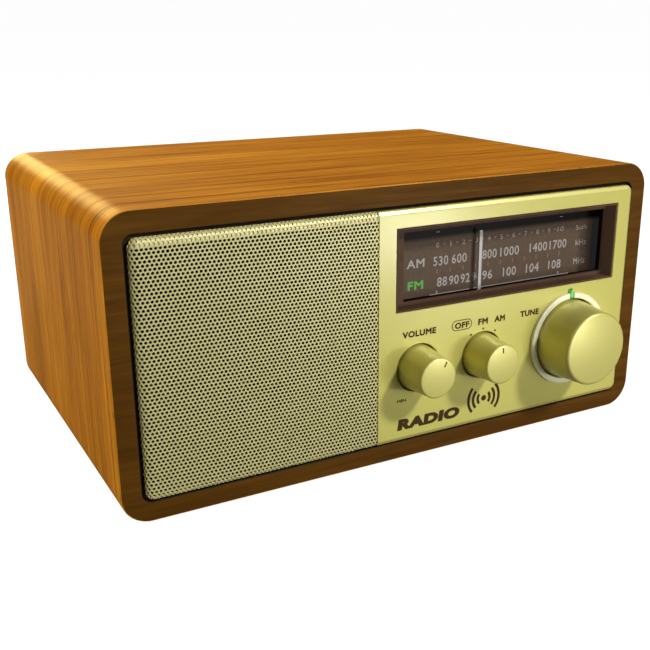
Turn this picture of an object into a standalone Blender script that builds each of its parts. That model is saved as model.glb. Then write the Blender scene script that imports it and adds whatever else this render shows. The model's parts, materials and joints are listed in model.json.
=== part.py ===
"""A wooden tabletop radio: cabinet, grille, control panel, dial drive, speaker, electronics and back panel.

Every piece is placed from a datum at the middle of the cabinet's front rim, level with the
cabinet's underside: +X is to the right seen from the front, +Y runs back into the cabinet, +Z up.
The datum itself stands so that the whole radio's footprint is centred on the world origin.
"""

import math

import bmesh
import bpy
from mathutils import Matrix, Vector

MM = 0.001
GAP = 0.3 * MM  # clearance between neighbouring solids

# Cabinet: a wooden sleeve, open in front and behind.
CABINET_WIDTH = 240.0 * MM
CABINET_HEIGHT = 112.4 * MM
CABINET_DEPTH = 165.1 * MM
CABINET_CORNER = 11.1 * MM
WALL = 7.8 * MM
FLOOR = 7.6 * MM  # top of the floor board
CEILING = 104.2 * MM  # underside of the top board
INNER_CORNER = 3.6 * MM
FOOT_HEIGHT = 2.6 * MM
FOOT_RADIUS = 7.0 * MM
FOOT_INSET = 24.0 * MM
BATTEN = 12.0 * MM

# Front panel: a perforated grille on the left and a control panel on the right.
FACE_Y = -2.0 * MM
REVEAL = 1.0 * MM
PANEL_HALF_WIDTH = CABINET_WIDTH / 2 - WALL - REVEAL
PANEL_LOW = FLOOR + REVEAL
PANEL_HIGH = CEILING - REVEAL
PANEL_CORNER = 3.3 * MM
PANEL_EDGE = 2.4 * MM
SEAM_X = -17.0 * MM
SEAM_GAP = 0.4 * MM
GRILLE_SHEET = 0.8 * MM
GRILLE_DEPTH = 3.0 * MM
FACEPLATE_THICKNESS = 2.2 * MM
CLOTH_THICKNESS = 0.8 * MM
FRAME_FRONT = 1.3 * MM
FRAME_BACK = 3.7 * MM
PILLAR_RADIUS = 2.8 * MM

# Dial window and the recess behind it.
WINDOW_LEFT = -9.1 * MM
WINDOW_RIGHT = 103.1 * MM
WINDOW_LOW = 62.9 * MM
WINDOW_HIGH = 96.1 * MM
COLLAR_WALL = 0.6 * MM
COLLAR_GAP = 0.2 * MM
APERTURE_LEFT = -2.6 * MM
APERTURE_LOW = 65.1 * MM
APERTURE_HIGH = 93.0 * MM
APERTURE_FRONT = 3.3 * MM
HOUSING_FLANGE_FRONT = 4.0 * MM
HOUSING_FLANGE_BACK = 4.6 * MM
HOUSING_LEFT = -10.5 * MM
HOUSING_RIGHT = 111.5 * MM
HOUSING_LOW = 61.0 * MM
HOUSING_HIGH = 98.5 * MM
HOUSING_BACK = 14.0 * MM
HOUSING_WALL = 1.2 * MM
SLOT_LEFT = 14.5 * MM
SLOT_RIGHT = 89.5 * MM
DIAL_LEFT = -6.0 * MM
DIAL_RIGHT = 105.5 * MM
DIAL_LOW = 63.6 * MM
DIAL_HIGH = 96.0 * MM
DIAL_FACE_Y = 11.2 * MM
DIAL_THICKNESS = 1.5 * MM
LAMPS = 6
LAMP_Z = 78.0 * MM
POINTER_X = 38.0 * MM
POINTER_Y = 8.5 * MM
POINTER_TOP = 89.0 * MM
POINTER_WIDTH = 1.5 * MM
POINTER_SLOT = 1.1 * MM  # half the slot the pointer stands in

# Controls: each turns about an axis along Y at this (x, z).
VOLUME_AXIS = (1.8 * MM, 38.9 * MM)
FUNCTION_AXIS = (33.2 * MM, 38.9 * MM)
TUNING_AXIS = (79.2 * MM, 38.8 * MM)
VOLUME_TURN = math.radians(22)
SMALL_KNOB_BASE = 9.6 * MM
SMALL_KNOB_TIP = 8.3 * MM
SMALL_KNOB_FRONT = -16.5 * MM
SMALL_BORE_END = -12.0 * MM
TUNING_KNOB_BASE = 17.6 * MM
TUNING_KNOB_TIP = 15.9 * MM
TUNING_KNOB_FRONT = -21.2 * MM
TUNING_BORE_END = -15.0 * MM
KNOB_BACK = 0.5 * MM
KNOB_EDGE = 1.2 * MM
MARK_WIDTH = 0.6 * MM
MARK_LENGTH = 2.6 * MM
MARK_DEPTH = 0.25 * MM
MARK_INSET = 1.5 * MM
SHAFT_RADIUS = 3.0 * MM
BORE_RADIUS = SHAFT_RADIUS + GAP
SHAFT_BACK = 11.4 * MM
CONTROL_BACK = 13.8 * MM
BEZEL_INNER = 18.0 * MM
BEZEL_OUTER = 20.5 * MM
BEZEL_FRONT = -3.5 * MM
LENS_HALF_WIDTH = 1.0 * MM
LENS_LOW = 56.9 * MM
LENS_HIGH = 60.5 * MM
BUSH_RADIUS = 4.5 * MM
TUNING_BUSH_RADIUS = 5.0 * MM

# Dial drive: a cord loop in one plane round two idlers, the tuning spindle and a large drum.
CORD_Y = 26.0 * MM
CORD_RADIUS = 0.4 * MM
IDLER_LEFT = (4.0 * MM, 55.0 * MM)
IDLER_RIGHT = (100.0 * MM, 55.0 * MM)
IDLER_RUN = 4.0 * MM
SPINDLE_RUN = 3.0 * MM
DRUM_AXIS = (48.0 * MM, 34.0 * MM)
DRUM_RUN = 20.5 * MM
RAIL_Y = 20.0 * MM
RAIL_Z = 57.0 * MM
RAIL_RADIUS = 1.5 * MM
CHASSIS_FRONT = 30.0 * MM
CHASSIS_BACK = 31.2 * MM
CHASSIS_LEFT = -16.0 * MM
CHASSIS_RIGHT = 110.5 * MM
CHASSIS_LOW = 12.0 * MM
CHASSIS_HIGH = 64.0 * MM
CAPACITOR_HALF = 15.0 * MM
CAPACITOR_BACK = 50.0 * MM

# Loudspeaker, behind the grille.
SPEAKER = (-64.0 * MM, CABINET_HEIGHT / 2)
SPEAKER_FRONT = FRAME_BACK + GAP
SPEAKER_OPENING = 33.0 * MM

# Back panel, set into the cabinet's rear.
BACK_FRONT = 158.5 * MM
BACK_REAR = 161.5 * MM
PORT = (-64.0 * MM, 62.0 * MM)
PORT_RADIUS = 15.0 * MM
PORT_FRONT = 112.0 * MM
PORT_WALL = 1.5 * MM
INLET = (86.0 * MM, 26.0 * MM)
INLET_HALF = (10.0 * MM, 6.5 * MM)
SWITCH = (-78.0 * MM, 24.0 * MM)
SWITCH_HALF = (7.0 * MM, 3.5 * MM)
JACK_Z = 24.0 * MM
JACK_BACK = 146.0 * MM
JACKS = (
    ("dc_jack", 50.0 * MM, 5.2 * MM),
    ("aux_jack", 26.0 * MM, 3.6 * MM),
    ("phones_jack", 6.0 * MM, 3.6 * MM),
)
TERMINAL_X = -40.0 * MM
TERMINAL_HALF = (17.0 * MM, 6.0 * MM)
SCREWS = tuple((x * MM, z * MM) for x in (-106, 106) for z in (20, 92.4))
SCREW_HOLE = 1.9 * MM
VENTS = 6
VENT_HEIGHT = 2.5 * MM
VENT_PITCH = 6.0 * MM

# Main board, ferrite rod and transformer.
BOARD_TOP = 15.6 * MM
BOARD_LOW = 14.0 * MM
ROD = (18.0 * MM, 78.0 * MM, 90.0 * MM)
ROD_RADIUS = 5.0 * MM
ROD_BORE = 5.3 * MM
TRANSFORMER = (82.0 * MM, 106.0 * MM)

ROUND_STEPS = 24
SMALL_STEPS = 12
LARGE_STEPS = 40


# ---------------------------------------------------------------- building blocks


def clear_scene():
    for thing in list(bpy.data.objects):
        bpy.data.objects.remove(thing, do_unlink=True)


def material(name, color, roughness, metallic=0.0, alpha=1.0):
    made = bpy.data.materials.get(name) or bpy.data.materials.new(name)
    made.use_nodes = True
    shader = made.node_tree.nodes["Principled BSDF"]
    shader.inputs["Base Color"].default_value = (*color, 1.0)
    shader.inputs["Roughness"].default_value = roughness
    shader.inputs["Metallic"].default_value = metallic
    shader.inputs["Alpha"].default_value = alpha
    return made


def empty(name, location, parent=None, turn=0.0):
    """An empty, turned about its Y axis: a positive turn is clockwise seen from the front."""
    made = bpy.data.objects.new(name, None)
    made.location = location
    made.rotation_euler = (0.0, turn, 0.0)
    made.parent = parent
    bpy.context.scene.collection.objects.link(made)
    return made


def add_box(bm, low, high):
    size = [b - a for a, b in zip(low, high)]
    middle = [(a + b) / 2 for a, b in zip(low, high)]
    matrix = Matrix.Translation(middle) @ Matrix.Diagonal((*size, 1.0))
    bmesh.ops.create_cube(bm, size=1.0, matrix=matrix)


def add_cylinder(bm, centre, radius, y0, y1, steps=SMALL_STEPS):
    """A solid cylinder along Y, centred on (x, z)."""
    matrix = Matrix.Translation((centre[0], (y0 + y1) / 2, centre[1])) @ Matrix.Rotation(math.pi / 2, 4, "X")
    bmesh.ops.create_cone(
        bm, cap_ends=True, segments=steps, radius1=radius, radius2=radius, depth=y1 - y0, matrix=matrix
    )


def add_rod(bm, radius, length, centre=(0.0, 0.0, 0.0)):
    """A solid cylinder along X."""
    matrix = Matrix.Translation(centre) @ Matrix.Rotation(math.pi / 2, 4, "Y")
    bmesh.ops.create_cone(
        bm, cap_ends=True, segments=SMALL_STEPS, radius1=radius, radius2=radius, depth=length, matrix=matrix
    )


def cross_outline(arm, half):
    """Points of a plus sign, anticlockwise, as (x, z)."""
    points = [(half, half), (half, arm), (-half, arm), (-half, half), (-arm, half), (-arm, -half)]
    return points + [(-x, -z) for x, z in points]


def rounded_outline(left, right, low, high, corner, steps=4):
    """Points of a rectangle with round corners, anticlockwise, as (x, z)."""
    centres = (
        (right - corner, low + corner, -90),
        (right - corner, high - corner, 0),
        (left + corner, high - corner, 90),
        (left + corner, low + corner, 180),
    )
    points = []
    for x, z, start in centres:
        for i in range(steps + 1):
            angle = math.radians(start + 90 * i / steps)
            points.append((x + corner * math.cos(angle), z + corner * math.sin(angle)))
    return points


def add_prism(bm, outline, y0, y1, front_edge=0.0, edge_steps=3):
    """The outline extruded along Y from y0 to y1, with its front edge rounded."""
    front = [bm.verts.new((x, y0, z)) for x, z in outline]
    back = [bm.verts.new((x, y1, z)) for x, z in outline]
    bm.faces.new(front)
    bm.faces.new(back[::-1])
    count = len(outline)
    for i in range(count):
        j = (i + 1) % count
        bm.faces.new((front[j], front[i], back[i], back[j]))
    if front_edge:
        rim = [bm.edges.get((front[i], front[(i + 1) % count])) for i in range(count)]
        bmesh.ops.bevel(
            bm, geom=rim, offset=front_edge, segments=edge_steps, affect="EDGES", profile=0.5,
            clamp_overlap=True,
        )


def add_turned(bm, profile, centre=(0.0, 0.0), steps=ROUND_STEPS, closed=False):
    """A solid turned about an axis along Y. The profile is (radius, y) points, from the axis to the
    axis, or a closed ring of points when closed is true."""
    rings = []
    for radius, y in profile:
        if radius == 0.0:
            rings.append([bm.verts.new((centre[0], y, centre[1]))])
            continue
        ring = []
        for i in range(steps):
            angle = 2 * math.pi * i / steps
            ring.append(
                bm.verts.new((centre[0] + radius * math.sin(angle), y, centre[1] + radius * math.cos(angle)))
            )
        rings.append(ring)
    pairs = list(zip(rings, rings[1:]))
    if closed:
        pairs.append((rings[-1], rings[0]))
    for first, second in pairs:
        for i in range(steps):
            j = (i + 1) % steps
            corners = [
                first[i % len(first)],
                second[i % len(second)],
                second[j % len(second)],
                first[j % len(first)],
            ]
            bm.faces.new(list(dict.fromkeys(corners)))


def to_mesh(bm, name):
    bmesh.ops.recalc_face_normals(bm, faces=bm.faces)
    mesh = bpy.data.meshes.new(name)
    bm.to_mesh(mesh)
    bm.free()
    return mesh


def piece(name, bm, finish, parent, location=(0.0, 0.0, 0.0), smooth=False):
    mesh = to_mesh(bm, name)
    if smooth:
        mesh.shade_smooth()
        mesh.set_sharp_from_angle(angle=math.radians(35))
    mesh.materials.append(finish)
    made = bpy.data.objects.new(name, mesh)
    made.parent = parent
    made.location = location
    bpy.context.scene.collection.objects.link(made)
    return made


def helper(name, bm, parent, location=(0.0, 0.0, 0.0)):
    """A hidden solid that another piece is cut by, or joined with."""
    made = bpy.data.objects.new(name, to_mesh(bm, name))
    made.parent = parent
    made.location = location
    made.hide_render = True
    made.display_type = "WIRE"
    bpy.context.scene.collection.objects.link(made)
    return made


def combine(target, operation, bm):
    """Cuts the solids in bm out of the target, or joins them to it."""
    other = helper(f"{target.name}_{operation.lower()}", bm, target.parent, target.location)
    modifier = target.modifiers.new(operation.lower(), "BOOLEAN")
    modifier.operation = operation
    modifier.object = other
    modifier.solver = "EXACT"
    modifier.use_self = operation == "UNION"


def cut(target, bm):
    combine(target, "DIFFERENCE", bm)


def join(target, bm):
    combine(target, "UNION", bm)


# ---------------------------------------------------------------- finishes


def make_finishes():
    return {
        "walnut": material("walnut", (0.42, 0.20, 0.06), 0.32),
        "batten": material("batten_wood", (0.55, 0.38, 0.20), 0.7),
        "rubber": material("rubber", (0.02, 0.02, 0.02), 0.8),
        "black": material("black_plastic", (0.02, 0.02, 0.02), 0.45),
        "gold": material("champagne_metal", (0.72, 0.66, 0.34), 0.35, 0.6),
        "grille": material("grille_metal", (0.66, 0.62, 0.38), 0.4, 0.5),
        "cloth": material("black_cloth", (0.01, 0.01, 0.01), 0.95),
        "brown": material("brown_plastic", (0.07, 0.035, 0.02), 0.5),
        "dial": material("dial_plate", (0.12, 0.08, 0.06), 0.4),
        "pointer": material("pointer_plastic", (0.72, 0.72, 0.68), 0.4),
        "lens": material("green_lens", (0.10, 0.70, 0.12), 0.15, alpha=0.6),
        "steel": material("plated_steel", (0.62, 0.62, 0.60), 0.3, 1.0),
        "board": material("circuit_board", (0.04, 0.20, 0.08), 0.5),
        "nylon": material("white_nylon", (0.75, 0.74, 0.68), 0.5),
        "cord": material("dial_cord", (0.55, 0.45, 0.30), 0.9),
        "paper": material("cone_paper", (0.03, 0.03, 0.03), 0.9),
        "copper": material("copper_winding", (0.70, 0.32, 0.12), 0.35, 0.8),
        "ferrite": material("ferrite", (0.06, 0.055, 0.055), 0.6),
        "brass": material("brass_contact", (0.75, 0.55, 0.22), 0.3, 1.0),
    }


# ---------------------------------------------------------------- cabinet


def build_cabinet(datum, finish):
    half = CABINET_WIDTH / 2
    bm = bmesh.new()
    outline = rounded_outline(-half, half, 0.0, CABINET_HEIGHT, CABINET_CORNER, steps=10)
    add_prism(bm, outline, 0.0, CABINET_DEPTH)
    shell = piece("cabinet_shell", bm, finish["walnut"], datum, smooth=True)
    bm = bmesh.new()
    inner = rounded_outline(-half + WALL, half - WALL, FLOOR, CEILING, INNER_CORNER)
    add_prism(bm, inner, -5 * MM, CABINET_DEPTH + 5 * MM)
    cut(shell, bm)

    for side, x in (("left", -half + FOOT_INSET), ("right", half - FOOT_INSET)):
        for end, y in (("front", FOOT_INSET), ("rear", CABINET_DEPTH - FOOT_INSET)):
            top = FOOT_HEIGHT - 0.05 * MM
            sole = FOOT_RADIUS - 1 * MM
            profile = [(0.0, 0.0), (sole, 0.0), (FOOT_RADIUS, 0.6 * MM), (FOOT_RADIUS, top), (0.0, top)]
            bm = bmesh.new()
            add_turned(bm, profile, steps=20)
            bmesh.ops.rotate(bm, cent=(0, 0, 0), matrix=Matrix.Rotation(math.pi / 2, 3, "X"), verts=bm.verts)
            piece(f"foot_{end}_{side}", bm, finish["rubber"], datum, (x, y, -FOOT_HEIGHT), smooth=True)

    for side, sign in (("left", -1), ("right", 1)):
        middle = sign * (half - WALL - GAP - BATTEN / 2)
        bm = bmesh.new()
        add_box(bm, (-BATTEN / 2, 0, FLOOR + 6 * MM), (BATTEN / 2, BATTEN, CEILING - 6 * MM))
        piece(f"rear_batten_{side}", bm, finish["batten"], datum, (middle, BACK_FRONT - BATTEN - GAP, 0))


# ---------------------------------------------------------------- front


def build_front(datum, finish):
    inner_half = CABINET_WIDTH / 2 - WALL - GAP
    bm = bmesh.new()
    outline = rounded_outline(-inner_half, inner_half, FLOOR + GAP, CEILING - GAP, INNER_CORNER)
    add_prism(bm, outline, FRAME_FRONT, FRAME_BACK)
    frame = piece("front_frame", bm, finish["black"], datum)
    bm = bmesh.new()
    for x in (-12 * MM, 107 * MM):
        for z in (16 * MM, 46.5 * MM):
            add_cylinder(bm, (x, z), PILLAR_RADIUS, FRAME_BACK - 1 * MM, CHASSIS_FRONT - GAP)
    join(frame, bm)
    bm = bmesh.new()
    deep = 6 * MM
    out = 0.1 * MM
    add_cylinder(bm, SPEAKER, SPEAKER_OPENING, 0, deep, LARGE_STEPS)
    add_box(bm, (WINDOW_LEFT - out, 0, WINDOW_LOW - out), (WINDOW_RIGHT + out, deep, WINDOW_HIGH + out))
    for axis in (VOLUME_AXIS, FUNCTION_AXIS):
        add_cylinder(bm, axis, BUSH_RADIUS + GAP, 0, deep, 20)
    add_cylinder(bm, TUNING_AXIS, TUNING_BUSH_RADIUS + GAP, 0, deep, 20)
    lens_left = TUNING_AXIS[0] - LENS_HALF_WIDTH - GAP
    lens_right = TUNING_AXIS[0] + LENS_HALF_WIDTH + GAP
    add_box(bm, (lens_left, 0, LENS_LOW - GAP), (lens_right, deep, LENS_HIGH + GAP))
    cut(frame, bm)

    grille_right = SEAM_X - SEAM_GAP / 2
    bm = bmesh.new()
    outline = rounded_outline(-PANEL_HALF_WIDTH, grille_right, PANEL_LOW, PANEL_HIGH, PANEL_CORNER)
    add_prism(bm, outline, FACE_Y, FACE_Y + GRILLE_DEPTH, PANEL_EDGE)
    grille = piece("speaker_grille", bm, finish["grille"], datum, smooth=True)
    bm = bmesh.new()
    inset = GRILLE_SHEET
    outline = rounded_outline(
        -PANEL_HALF_WIDTH + inset, grille_right - inset, PANEL_LOW + inset, PANEL_HIGH - inset,
        PANEL_CORNER - inset,
    )
    add_prism(bm, outline, FACE_Y + inset, FACE_Y + GRILLE_DEPTH + 2 * MM, PANEL_EDGE - inset)
    cut(grille, bm)

    bm = bmesh.new()
    inset = GRILLE_SHEET + 2.6 * MM
    left, right = -PANEL_HALF_WIDTH + inset, grille_right - inset
    outline = rounded_outline(left, right, PANEL_LOW + inset, PANEL_HIGH - inset, 2 * MM)
    cloth_front = FACE_Y + GRILLE_SHEET + GAP
    add_prism(bm, outline, cloth_front, cloth_front + CLOTH_THICKNESS)
    piece("grille_cloth", bm, finish["cloth"], datum)

    bm = bmesh.new()
    outline = rounded_outline(SEAM_X + SEAM_GAP / 2, PANEL_HALF_WIDTH, PANEL_LOW, PANEL_HIGH, PANEL_CORNER)
    add_prism(bm, outline, FACE_Y, FACE_Y + FACEPLATE_THICKNESS, PANEL_EDGE - 0.3 * MM)
    faceplate = piece("faceplate", bm, finish["gold"], datum, smooth=True)
    bm = bmesh.new()
    add_box(bm, (WINDOW_LEFT, -5 * MM, WINDOW_LOW), (WINDOW_RIGHT, 5 * MM, WINDOW_HIGH))
    for axis in (VOLUME_AXIS, FUNCTION_AXIS):
        add_cylinder(bm, axis, SMALL_KNOB_BASE + 0.5 * MM, -5 * MM, 5 * MM, ROUND_STEPS)
    add_cylinder(bm, TUNING_AXIS, BEZEL_INNER + 0.9 * MM, -5 * MM, 5 * MM, LARGE_STEPS)
    cut(faceplate, bm)
    bm = bmesh.new()
    add_box(bm, (lens_left, -5 * MM, 50 * MM), (lens_right, 5 * MM, LENS_HIGH + GAP))
    cut(faceplate, bm)


def build_dial(datum, finish):
    bm = bmesh.new()
    front, back = HOUSING_FLANGE_FRONT, HOUSING_BACK
    add_box(bm, (HOUSING_LEFT, front, HOUSING_LOW), (HOUSING_RIGHT, back, HOUSING_HIGH))
    housing = piece("dial_housing", bm, finish["brown"], datum)
    bm = bmesh.new()
    out = COLLAR_GAP
    add_box(
        bm, (WINDOW_LEFT + out, FACE_Y + 0.2 * MM, WINDOW_LOW + out),
        (WINDOW_RIGHT - out, HOUSING_FLANGE_FRONT + 0.3 * MM, WINDOW_HIGH - out),
    )
    join(housing, bm)
    bm = bmesh.new()
    out = COLLAR_GAP + COLLAR_WALL
    right = WINDOW_RIGHT - out
    add_box(bm, (WINDOW_LEFT + out, -5 * MM, WINDOW_LOW + out), (right, APERTURE_FRONT, WINDOW_HIGH - out))
    add_box(
        bm, (HOUSING_LEFT + HOUSING_WALL, HOUSING_FLANGE_BACK, HOUSING_LOW + HOUSING_WALL),
        (HOUSING_RIGHT - HOUSING_WALL, HOUSING_BACK + 5 * MM, HOUSING_HIGH - HOUSING_WALL),
    )
    cut(housing, bm)
    bm = bmesh.new()
    add_box(bm, (APERTURE_LEFT, -4 * MM, APERTURE_LOW), (right, HOUSING_BACK, APERTURE_HIGH))
    add_box(
        bm, (SLOT_LEFT, POINTER_Y - POINTER_SLOT, HOUSING_LOW - 2 * MM),
        (SLOT_RIGHT, POINTER_Y + POINTER_SLOT, HOUSING_LOW + 3 * MM),
    )
    cut(housing, bm)

    bm = bmesh.new()
    add_box(bm, (DIAL_LEFT, DIAL_FACE_Y, DIAL_LOW), (DIAL_RIGHT, DIAL_FACE_Y + DIAL_THICKNESS, DIAL_HIGH))
    piece("dial_plate", bm, finish["dial"], datum)

    bm = bmesh.new()
    board_y = HOUSING_BACK + GAP
    inset = 0.5 * MM
    add_box(
        bm, (HOUSING_LEFT + inset, board_y, HOUSING_LOW + inset),
        (HOUSING_RIGHT - inset, board_y + BOARD_TOP - BOARD_LOW, HOUSING_HIGH - inset),
    )
    lamps = piece("dial_lamp_board", bm, finish["board"], datum)
    bm = bmesh.new()
    for i in range(LAMPS):
        x = (10 + 16 * i) * MM
        add_box(bm, (x, board_y - 0.9 * MM, LAMP_Z), (x + 3 * MM, board_y + 0.5 * MM, LAMP_Z + 3 * MM))
    join(lamps, bm)


def build_pointer(datum, finish):
    slider = empty("pointer_axis", (POINTER_X, RAIL_Y, RAIL_Z), datum)
    back = POINTER_Y - RAIL_Y
    bm = bmesh.new()
    add_box(bm, (-4 * MM, -2.6 * MM, -3 * MM), (4 * MM, 2.6 * MM, 3 * MM))
    pointer = piece("dial_pointer", bm, finish["pointer"], slider)
    bm = bmesh.new()
    half = POINTER_WIDTH / 2
    add_box(bm, (-half, back - 0.3 * MM, 1 * MM), (half, back + 0.3 * MM, POINTER_TOP - RAIL_Z))
    add_box(bm, (-2 * half, back - 0.4 * MM, 1 * MM), (2 * half, 0, 2.8 * MM))
    cord_y = CORD_Y - RAIL_Y
    cord_z = IDLER_LEFT[1] + IDLER_RUN - RAIL_Z
    shelf_top = cord_z - CORD_RADIUS - GAP
    add_box(bm, (-3 * MM, 1 * MM, shelf_top - 1 * MM), (3 * MM, cord_y + 1.4 * MM, shelf_top))
    for jaw in (cord_y - 1.5 * MM, cord_y + 0.8 * MM):
        add_box(bm, (-3 * MM, jaw, shelf_top - 0.8 * MM), (3 * MM, jaw + 0.7 * MM, cord_z + 1 * MM))
    join(pointer, bm)
    bm = bmesh.new()
    add_rod(bm, RAIL_RADIUS + GAP, 20 * MM)
    cut(pointer, bm)

    bm = bmesh.new()
    add_rod(bm, RAIL_RADIUS, 115 * MM)
    piece("pointer_rail", bm, finish["steel"], datum, (51.5 * MM, RAIL_Y, RAIL_Z), smooth=True)


# ---------------------------------------------------------------- controls


def knob_profile(base, tip, front, bore_end):
    """(radius, y) points of a slightly tapered knob with a round front edge and a blind bore."""
    points = [(0.0, front)]
    for i in range(5):
        angle = math.radians(90 - 22.5 * i)
        radius = tip - KNOB_EDGE + KNOB_EDGE * math.cos(angle)
        points.append((radius, front + KNOB_EDGE - KNOB_EDGE * math.sin(angle)))
    points += [
        (base, KNOB_BACK - 0.4 * MM),
        (base - 0.4 * MM, KNOB_BACK),
        (BORE_RADIUS, KNOB_BACK),
        (BORE_RADIUS, bore_end),
        (0.0, bore_end),
    ]
    return points


def build_controls(datum, finish):
    for name, axis, turn in (("volume", VOLUME_AXIS, VOLUME_TURN), ("function", FUNCTION_AXIS, 0.0)):
        pivot = empty(f"{name}_axis", (axis[0], 0, axis[1]), datum, turn)
        bm = bmesh.new()
        add_turned(bm, knob_profile(SMALL_KNOB_BASE, SMALL_KNOB_TIP, SMALL_KNOB_FRONT, SMALL_BORE_END))
        knob = piece(f"{name}_knob", bm, finish["gold"], pivot, smooth=True)
        reach = SMALL_KNOB_TIP - MARK_INSET
        mark = bmesh.new()
        add_box(
            mark, (-MARK_WIDTH / 2, SMALL_KNOB_FRONT - 1 * MM, reach - MARK_LENGTH),
            (MARK_WIDTH / 2, SMALL_KNOB_FRONT + MARK_DEPTH, reach),
        )
        cut(knob, mark)
        front, back = SMALL_BORE_END + GAP, SHAFT_BACK
        profile = [(0.0, front), (SHAFT_RADIUS, front), (SHAFT_RADIUS, back), (0.0, back)]
        bm = bmesh.new()
        add_turned(bm, profile, steps=20)
        piece(f"{name}_shaft", bm, finish["steel"], pivot, smooth=True)

    controls = (("volume_pot", VOLUME_AXIS, 8.5 * MM), ("function_switch", FUNCTION_AXIS, 10.5 * MM))
    for name, axis, radius in controls:
        bm = bmesh.new()
        front = FRAME_FRONT + 0.2 * MM
        shoulder = FRAME_BACK + 1.8 * MM
        bore_end = SHAFT_BACK + GAP
        add_turned(
            bm,
            [
                (0.0, bore_end), (BORE_RADIUS, bore_end), (BORE_RADIUS, front), (BUSH_RADIUS, front),
                (BUSH_RADIUS, shoulder), (radius, shoulder), (radius, CONTROL_BACK), (0.0, CONTROL_BACK),
            ],
            steps=20,
        )
        piece(name, bm, finish["steel"], datum, (axis[0], 0, axis[1]), smooth=True)

    bm = bmesh.new()
    board_y = CONTROL_BACK + GAP
    add_box(bm, (-8 * MM, board_y, 26 * MM), (46.5 * MM, board_y + BOARD_TOP - BOARD_LOW, 52 * MM))
    piece("control_board", bm, finish["board"], datum)

    pivot = empty("tuning_axis", (TUNING_AXIS[0], 0, TUNING_AXIS[1]), datum)
    bm = bmesh.new()
    profile = knob_profile(TUNING_KNOB_BASE, TUNING_KNOB_TIP, TUNING_KNOB_FRONT, TUNING_BORE_END)
    add_turned(bm, profile, steps=LARGE_STEPS)
    piece("tuning_knob", bm, finish["gold"], pivot, smooth=True)
    groove = SPINDLE_RUN - CORD_RADIUS - 0.2 * MM
    collar = SHAFT_RADIUS + 1 * MM
    front = TUNING_BORE_END + GAP
    back = CHASSIS_BACK + 2 * MM
    bm = bmesh.new()
    add_turned(
        bm,
        [
            (0.0, front), (SHAFT_RADIUS, front),
            (SHAFT_RADIUS, CORD_Y - 3.2 * MM), (collar, CORD_Y - 3.2 * MM),
            (collar, CORD_Y - 2.2 * MM), (groove, CORD_Y - 1.9 * MM), (groove, CORD_Y + 1.9 * MM),
            (collar, CORD_Y + 2.2 * MM), (collar, CORD_Y + 3.2 * MM), (SHAFT_RADIUS, CORD_Y + 3.2 * MM),
            (SHAFT_RADIUS, back), (0.0, back),
        ],
        steps=20,
    )
    piece("tuning_spindle", bm, finish["steel"], pivot, smooth=True)

    bush, flange, seat, end = TUNING_BUSH_RADIUS, 8 * MM, FRAME_BACK + GAP, 10 * MM
    bm = bmesh.new()
    add_turned(
        bm,
        [
            (BORE_RADIUS, FRAME_FRONT), (bush, FRAME_FRONT), (bush, seat), (flange, seat),
            (flange, seat + 1.4 * MM), (bush, seat + 1.4 * MM), (bush, end), (BORE_RADIUS, end),
        ],
        steps=20, closed=True,
    )
    piece("tuning_bush", bm, finish["brass"], datum, (TUNING_AXIS[0], 0, TUNING_AXIS[1]), smooth=True)

    crown, seat, back = BEZEL_FRONT, FACE_Y - GAP, FRAME_FRONT - 0.4 * MM
    sleeve = BEZEL_INNER + 0.6 * MM
    bm = bmesh.new()
    add_turned(
        bm,
        [
            (BEZEL_INNER, back), (BEZEL_INNER, crown + 0.6 * MM), (BEZEL_INNER + 0.5 * MM, crown),
            (BEZEL_OUTER - 0.8 * MM, crown), (BEZEL_OUTER, crown + 0.7 * MM), (BEZEL_OUTER, seat),
            (sleeve, seat), (sleeve, back),
        ],
        steps=LARGE_STEPS, closed=True,
    )
    bezel = piece("tuning_bezel", bm, finish["gold"], datum, (TUNING_AXIS[0], 0, TUNING_AXIS[1]), smooth=True)
    bm = bmesh.new()
    lens_half = LENS_HALF_WIDTH + GAP
    lens_base = LENS_LOW - GAP - TUNING_AXIS[1]
    add_box(bm, (-lens_half, -5 * MM, lens_base), (lens_half, 5 * MM, lens_base + 8 * MM))
    cut(bezel, bm)

    bm = bmesh.new()
    outline = rounded_outline(-LENS_HALF_WIDTH, LENS_HALF_WIDTH, LENS_LOW, LENS_HIGH, 0.9 * MM)
    add_prism(bm, outline, BEZEL_FRONT - 0.1 * MM, FRAME_BACK, 0.4 * MM, 2)
    piece("tuning_lens", bm, finish["lens"], datum, (TUNING_AXIS[0], 0, 0), smooth=True)


# ---------------------------------------------------------------- dial drive


def belt_points(pulleys):
    """Centre line of a cord that passes clockwise, seen from the front, round pulleys given as
    (x, z, radius, y where it arrives, y where it leaves, extra whole turns)."""
    count = len(pulleys)
    headings = []
    for i in range(count):
        x0, z0, r0 = pulleys[i][:3]
        x1, z1, r1 = pulleys[(i + 1) % count][:3]
        span = math.hypot(x1 - x0, z1 - z0)
        headings.append(math.atan2(z1 - z0, x1 - x0) + math.asin((r1 - r0) / span))
    points = []
    for i, (x, z, radius, y_in, y_out, turns) in enumerate(pulleys):
        arrive, leave = headings[i - 1], headings[i]
        sweep = (arrive - leave) % (2 * math.pi) + 2 * math.pi * turns
        steps = max(2, math.ceil(sweep / math.radians(10 if radius > 10 * MM else 24)))
        for k in range(steps + 1):
            heading = arrive - sweep * k / steps
            y = y_in + (y_out - y_in) * k / steps
            points.append((x - radius * math.sin(heading), y, z + radius * math.cos(heading)))
    return points


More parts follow.
